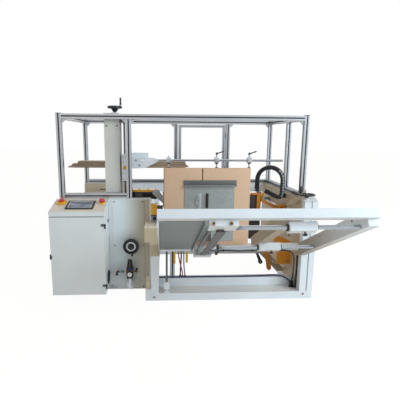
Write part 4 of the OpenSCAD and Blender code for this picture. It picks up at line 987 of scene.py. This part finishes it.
arms = Shape()
for x0, x1, z0, z1 in ((912, 930, 250, 560), (930, 1030, 516, 544), (1012, 1030, 258, 516)):
    arms.box((x0, -58, z0), (x1, -50, z1), 1.5)
for z in (270, 530):
    arms.bolt((921, -58, z), FRONT, 10, 5)
arms.done("unit_arms", YELLOW)


# Base: bolts, black strip by the right column, painted-shade plate on the rear sill, cable sleeve, clips and
# hose manifold

anchors = Shape()
for x, z in ((760, 30), (1939, 38), (1921, 372), (1946, 378)):
    anchors.bolt((x, -190, z), FRONT, 15, 6)
for x, z in ((704, 165), (724, 165), (714, 112)):
    anchors.dome((x, -190.2, z), FRONT, 8, 2.4)
for x, y in product((716, 770), (-176, -60)):
    anchors.dome((x, y, 592), UP, 14, 4)
for x in (846, 870):
    anchors.bolt((x, -182, 82), FRONT, 11, 5)
anchors.done("base_bolts", BOLT)
# A black strip along the inner left face of the right column.
Shape().box((1897, -129.4, 62), (1909.8, -116, 334), 1.5).done("column_dark_strip", RUBBER)
# A thin tan plate on the left part of the rear sill: painted shade, with a dark slot line on it.
Shape().box((24, 905.6, 692), (470, 909.8, 776), 0.8).done("sill_shade_plate", SHADE_TAN)
Shape().box((176, 905.1, 712), (330, 905.8, 721), 0).done("sill_slot", SLOT)

sleeve = Shape()
spine = smooth([(1880, -98, 60.5), (1877, -98.5, 78), (1871, -99, 108)], 13)
for a, b in zip(spine, spine[1:]):
    sleeve.lathe(a, b - a, [(0, 0), (14, 0), (16.5, 0.9), (16.5, 2.8), (14, 3.7), (0, 3.8)], 24)
sleeve.ring((1880, -98, 60), UP, 46, 28, 5).done("cable_sleeve", RUBBER)
clips = Shape()
for x, z in ((1290, 406), (1515, 404), (1747, 404)):
    clips.box((x - 5, -205.4, z - 7.5), (x + 5, -189.8, z + 7.5), 2)
clips.box((1226, -206, 372), (1246, -189.8, 404), 2.5)
clips.done("cable_clips", BLACK)
manifold = Shape().box((925.6, -40, 448), (996, -8, 474), 2).box((925.8, -34, 474), (934, -14, 500), 1.5)
for x, y, d in ((990, -28, 10), (972, -16, 12), (1010, -20, 10)):
    manifold.ring((x, y, 129.6), UP, d + 12, d - 1, 6)
manifold.done("hose_manifold", BLACK_METAL)
unions = Shape()
for x in (944, 962, 980):
    unions.lathe((x, -24, 449), DOWN, [(9, 0), (9, 6), (8, 7), (8, 12), (5, 13)], 6)
unions.done("hose_unions", BRASS)


# Magazine: rod end screws, collars, wipers, screws, blanks and pusher

RODS_X, ROD_DROP = (1081, 1171), -45.4
ends, washers, sockets, collars = Shape(MAG), Shape(MAG), Shape(MAG), Shape(MAG)
for x in RODS_X:
    washers.ring((x, 6.2, ROD_DROP), FRONT, 27, 12, 2.6)
    ends.bolt((x, 4, ROD_DROP), FRONT, 18, 8)
    sockets.rod((x, 1.8, ROD_DROP), FRONT, 9.6, 3, 0.2, 24)
    collars.ring((x, 887, ROD_DROP), BACK, 40, 22.2, 6.6, 1.2)
ends.done("rod_end_screws", BRASS)
washers.done("rod_end_washers", STEEL)
sockets.done("rod_end_sockets", SLOT)
collars.done("rod_collars", RUBBER)
wipers, pins = Shape(MAG), Shape(MAG)
for y in (80, 690):
    for x in (1479.5, 1637.5):
        wipers.ring((x, y, -50), RIGHT, 40, 25.8, 9)
    wipers.lathe((1576, y, -74.6), DOWN, [(4, 0), (4, 8), (11, 10), (13, 15), (11, 22), (0, 24)], 24)
    for x, off in product((1500, 1626), (-15, 15)):
        pins.bolt((x, y + off, -25), UP, 10, 5)
wipers.done("slider_wipers", BLACK, "side_guide")
pins.done("slider_bolts", BOLT, "side_guide")
pins = Shape(MAG)
for y in (90, 300, 510, 720):
    pins.dome((816, y, -25), UP, 11, 3)
    pins.dome((1912, y, 25), UP, 15, 4)
    pins.dome((1880, y + 60, 0), LEFT, 15, 4)
for x in (860, 1120, 1380, 1640, 1900):
    pins.dome((x, 0, 25), UP, 13, 3.4)
pins.done("magazine_screws", BOLT)

BLANK_PITCH, BLANK_T, BLANK_FRONT = 5.5, 5.0, -189.8
LOW, SLIT_LOW, SLIT_HIGH = 445.4, 575, 905
for k in range(8):
    dx = -0.7 * k + random.uniform(-0.4, 0.4)
    top = 1034.6 + random.uniform(-0.8, 0.2)
    y = BLANK_FRONT + BLANK_PITCH * k
    sheet = Shape(moved((dx, 0, 0)))
    sheet.prism([
        (840, LOW), (1118, LOW), (1118, SLIT_LOW), (1126, SLIT_LOW), (1126, LOW), (1480, LOW), (1480, top),
        (1126, top), (1126, SLIT_HIGH), (1118, SLIT_HIGH), (1118, top), (840, top)],
        "y", y, y + BLANK_T, 0.4)
    sheet.done(f"blank_{k + 1}", CARD_EDGE if k % 2 else CARD, replaces="blanks")
Shape().box((1120.8, -190.1, SLIT_LOW), (1123.2, -189.6, SLIT_HIGH), 0).done("blank_crease", CARD_DARK)

rail = Shape().box((984, -197, 906), (1376, -190.8, 946), 1).box((984, -221, 903), (1376, -191, 906.5))
rail.done("pusher_rail", ZINC_DARK, "pusher")
pull = Shape().prism([
    (1148, 742), (1151, 735), (1165, 735), (1168, 742), (1168, 841), (1165, 848), (1151, 848),
    (1148, 841)], "y", -198, -194.4, 0.8)
pull.tube(smooth([
    (1158, -197, 746), (1158, -210, 750), (1158, -214, 764), (1158, -214, 819), (1158, -210, 833),
    (1158, -197, 837)], 24), 11, 14)
pull.done("pusher_pull", BLACK, "pusher")
latch = Shape().box((1084, -199, 722), (1114, -194.4, 846), 1).box((1090, -206, 786), (1110, -198.6, 834), 2)
latch.rod((1098, -205.6, 812), FRONT, 15, 7).rod((1078, -200, 760), UP, 9, 60)
for z in (770, 800):
    latch.box((1074, -200, z), (1086, -195, z + 8), 0.6)
for z in (730, 770, 838):
    latch.dome((1104, -199, z), FRONT, 8, 2.4)
latch.done("pusher_latch", STEEL, "pusher")


# Erecting mechanism: chain with its cables and holders, folder back, roller, bolts

CHAIN = moved((1780, 300, 890)) @ turned(math.radians(-25), "Z")
CHAIN_R = 110
course = [(-CHAIN_R, 0, -68)]
course += [(x, 0, z) for _, x, z in spots(13, CHAIN_R, math.pi, -math.pi / 12)]
course += [(CHAIN_R, 0, -60), (109, 0, -116), (98, 0, -146), (66, 0, -146), (-34, 0, -101)]
stops = smooth(course, 30)
links, sheen_plates = Shape(), Shape()
for k, (a, b) in enumerate(zip(stops, stops[1:])):
    lean = turned(-math.atan2(b.z - a.z, b.x - a.x), "Y")
    links.place = sheen_plates.place = CHAIN @ moved((a + b) / 2) @ lean
    wide = 17 if k % 2 else 13.5
    for side in (-1, 1):
        links.box((-16, side * wide - 1.7, -18), (16, side * wide + 1.7, 18), 1.5)
        links.rod((0, side * (wide + 1.2), 0), (0, side, 0), 12, 1.6)
    for z in (-18, 14.5):
        links.box((-7, -wide, z), (7, wide, z + 3.5))
    # Blue-grey plates on the outer side of links 13 to 22: painted bluish highlights on the chain's
    # descending limb.
    if 13 <= k <= 22:
        sheen_plates.box((-10, -wide - 3.1, 2), (10, -wide - 1.6, 14.5), 0.4)
links.done("chain_links", BLACK, replaces="energy_chain")
sheen_plates.done("chain_sheen_plates", BLUE_GREY)
for name, mat, offset, d in (("chain_cable", BLUE, (0, 5, 2), 13), ("chain_hose", CABLE, (0, -7, -3), 11)):
    Shape(CHAIN).tube([p + Vector(offset) for p in smooth(course, 60)], d).done(name, mat)
hold = Shape(CHAIN).box((-129, -18, -84), (-91, 18, -66), 1.5)
hold.place = Matrix()
HOLDERS = (
    ((1874, 242, 738), (1909.7, 263, 774)), ((1662, 260.4, 780.1), (1698, 364, 787)),
    ((1664, 331, 786.8), (1696, 362, 806.6)))
for lo, hi in HOLDERS:
    hold.box(lo, hi, 1.5)
hold.done("chain_holders", BLACK_METAL)

dark = Shape().box((1604, 274.4, 356), (1700, 280, 764), 1.2)
for x in (1604, 1694):
    dark.box((x, 279.6, 356), (x + 6, 320, 764), 1.2)
dark.lathe((1652, 300, 400), UP, [
    (0, 0), (20, 0), (21, 3), (21, 22), (18, 24), (18, 236), (21, 238), (21, 260), (8, 262), (8, 330),
    (0, 331)], 32)
dark.done("folder_back", DUSK)
ROLLER = [(0, 0), (17, 0), (19, 2), (19, 22), (17, 24), (9, 24), (8, 21), (0, 21)]
strap = Shape().lathe((1697, 206, 169), FRONT, ROLLER)
strap.prism([(1654, 246), (1678, 246), (1712, 178), (1704, 160), (1686, 166)], "y", 203, 209.8, 1)
strap.done("folder_roller", RUBBER)
Shape().bolt((1697, 185.2, 169), FRONT, 13, 5).bolt((1666, 203, 238), FRONT, 10, 4).done("roller_bolts", BOLT)
pins = Shape()
for x, z in product((1762, 1886), (226, 452)):
    pins.bolt((x, 45, z), FRONT, 18, 8)
for x, z in ((1620, 770), (1675, 770), (1675, 600), (1712, 740)):
    pins.bolt((x, 260, z), FRONT, 14, 6)
for x in (1671, 1689):
    pins.bolt((x, 268, 787), UP, 9, 4)
pins.done("mechanism_bolts", BOLT)


# Plain sides: screws and louvres of the housings

SIDE_SCREWS = (
    (LEFT, (20,), (30, 300, 600, 890), (90, 380, 665)), (BACK, (110, 380, 650), (909.7,), (90, 660)),
    (RIGHT, (1980,), (-100, 250, 600, 940), (90, 420, 750)))
plain = Shape()
for axis, *rows in SIDE_SCREWS:
    for p in product(*rows):
        plain.dome(p, axis, 12, 3)
plain.done("housing_screws", BOLT)
louvres = Shape()
for k in range(7):
    z = 560 - 34 * k
    louvres.prism([(909.6, z), (911, z), (923, z - 15), (921, z - 17), (909.6, z - 6)], "x", 250, 510, 0.4)
louvres.done("rear_louvres", WHITE)
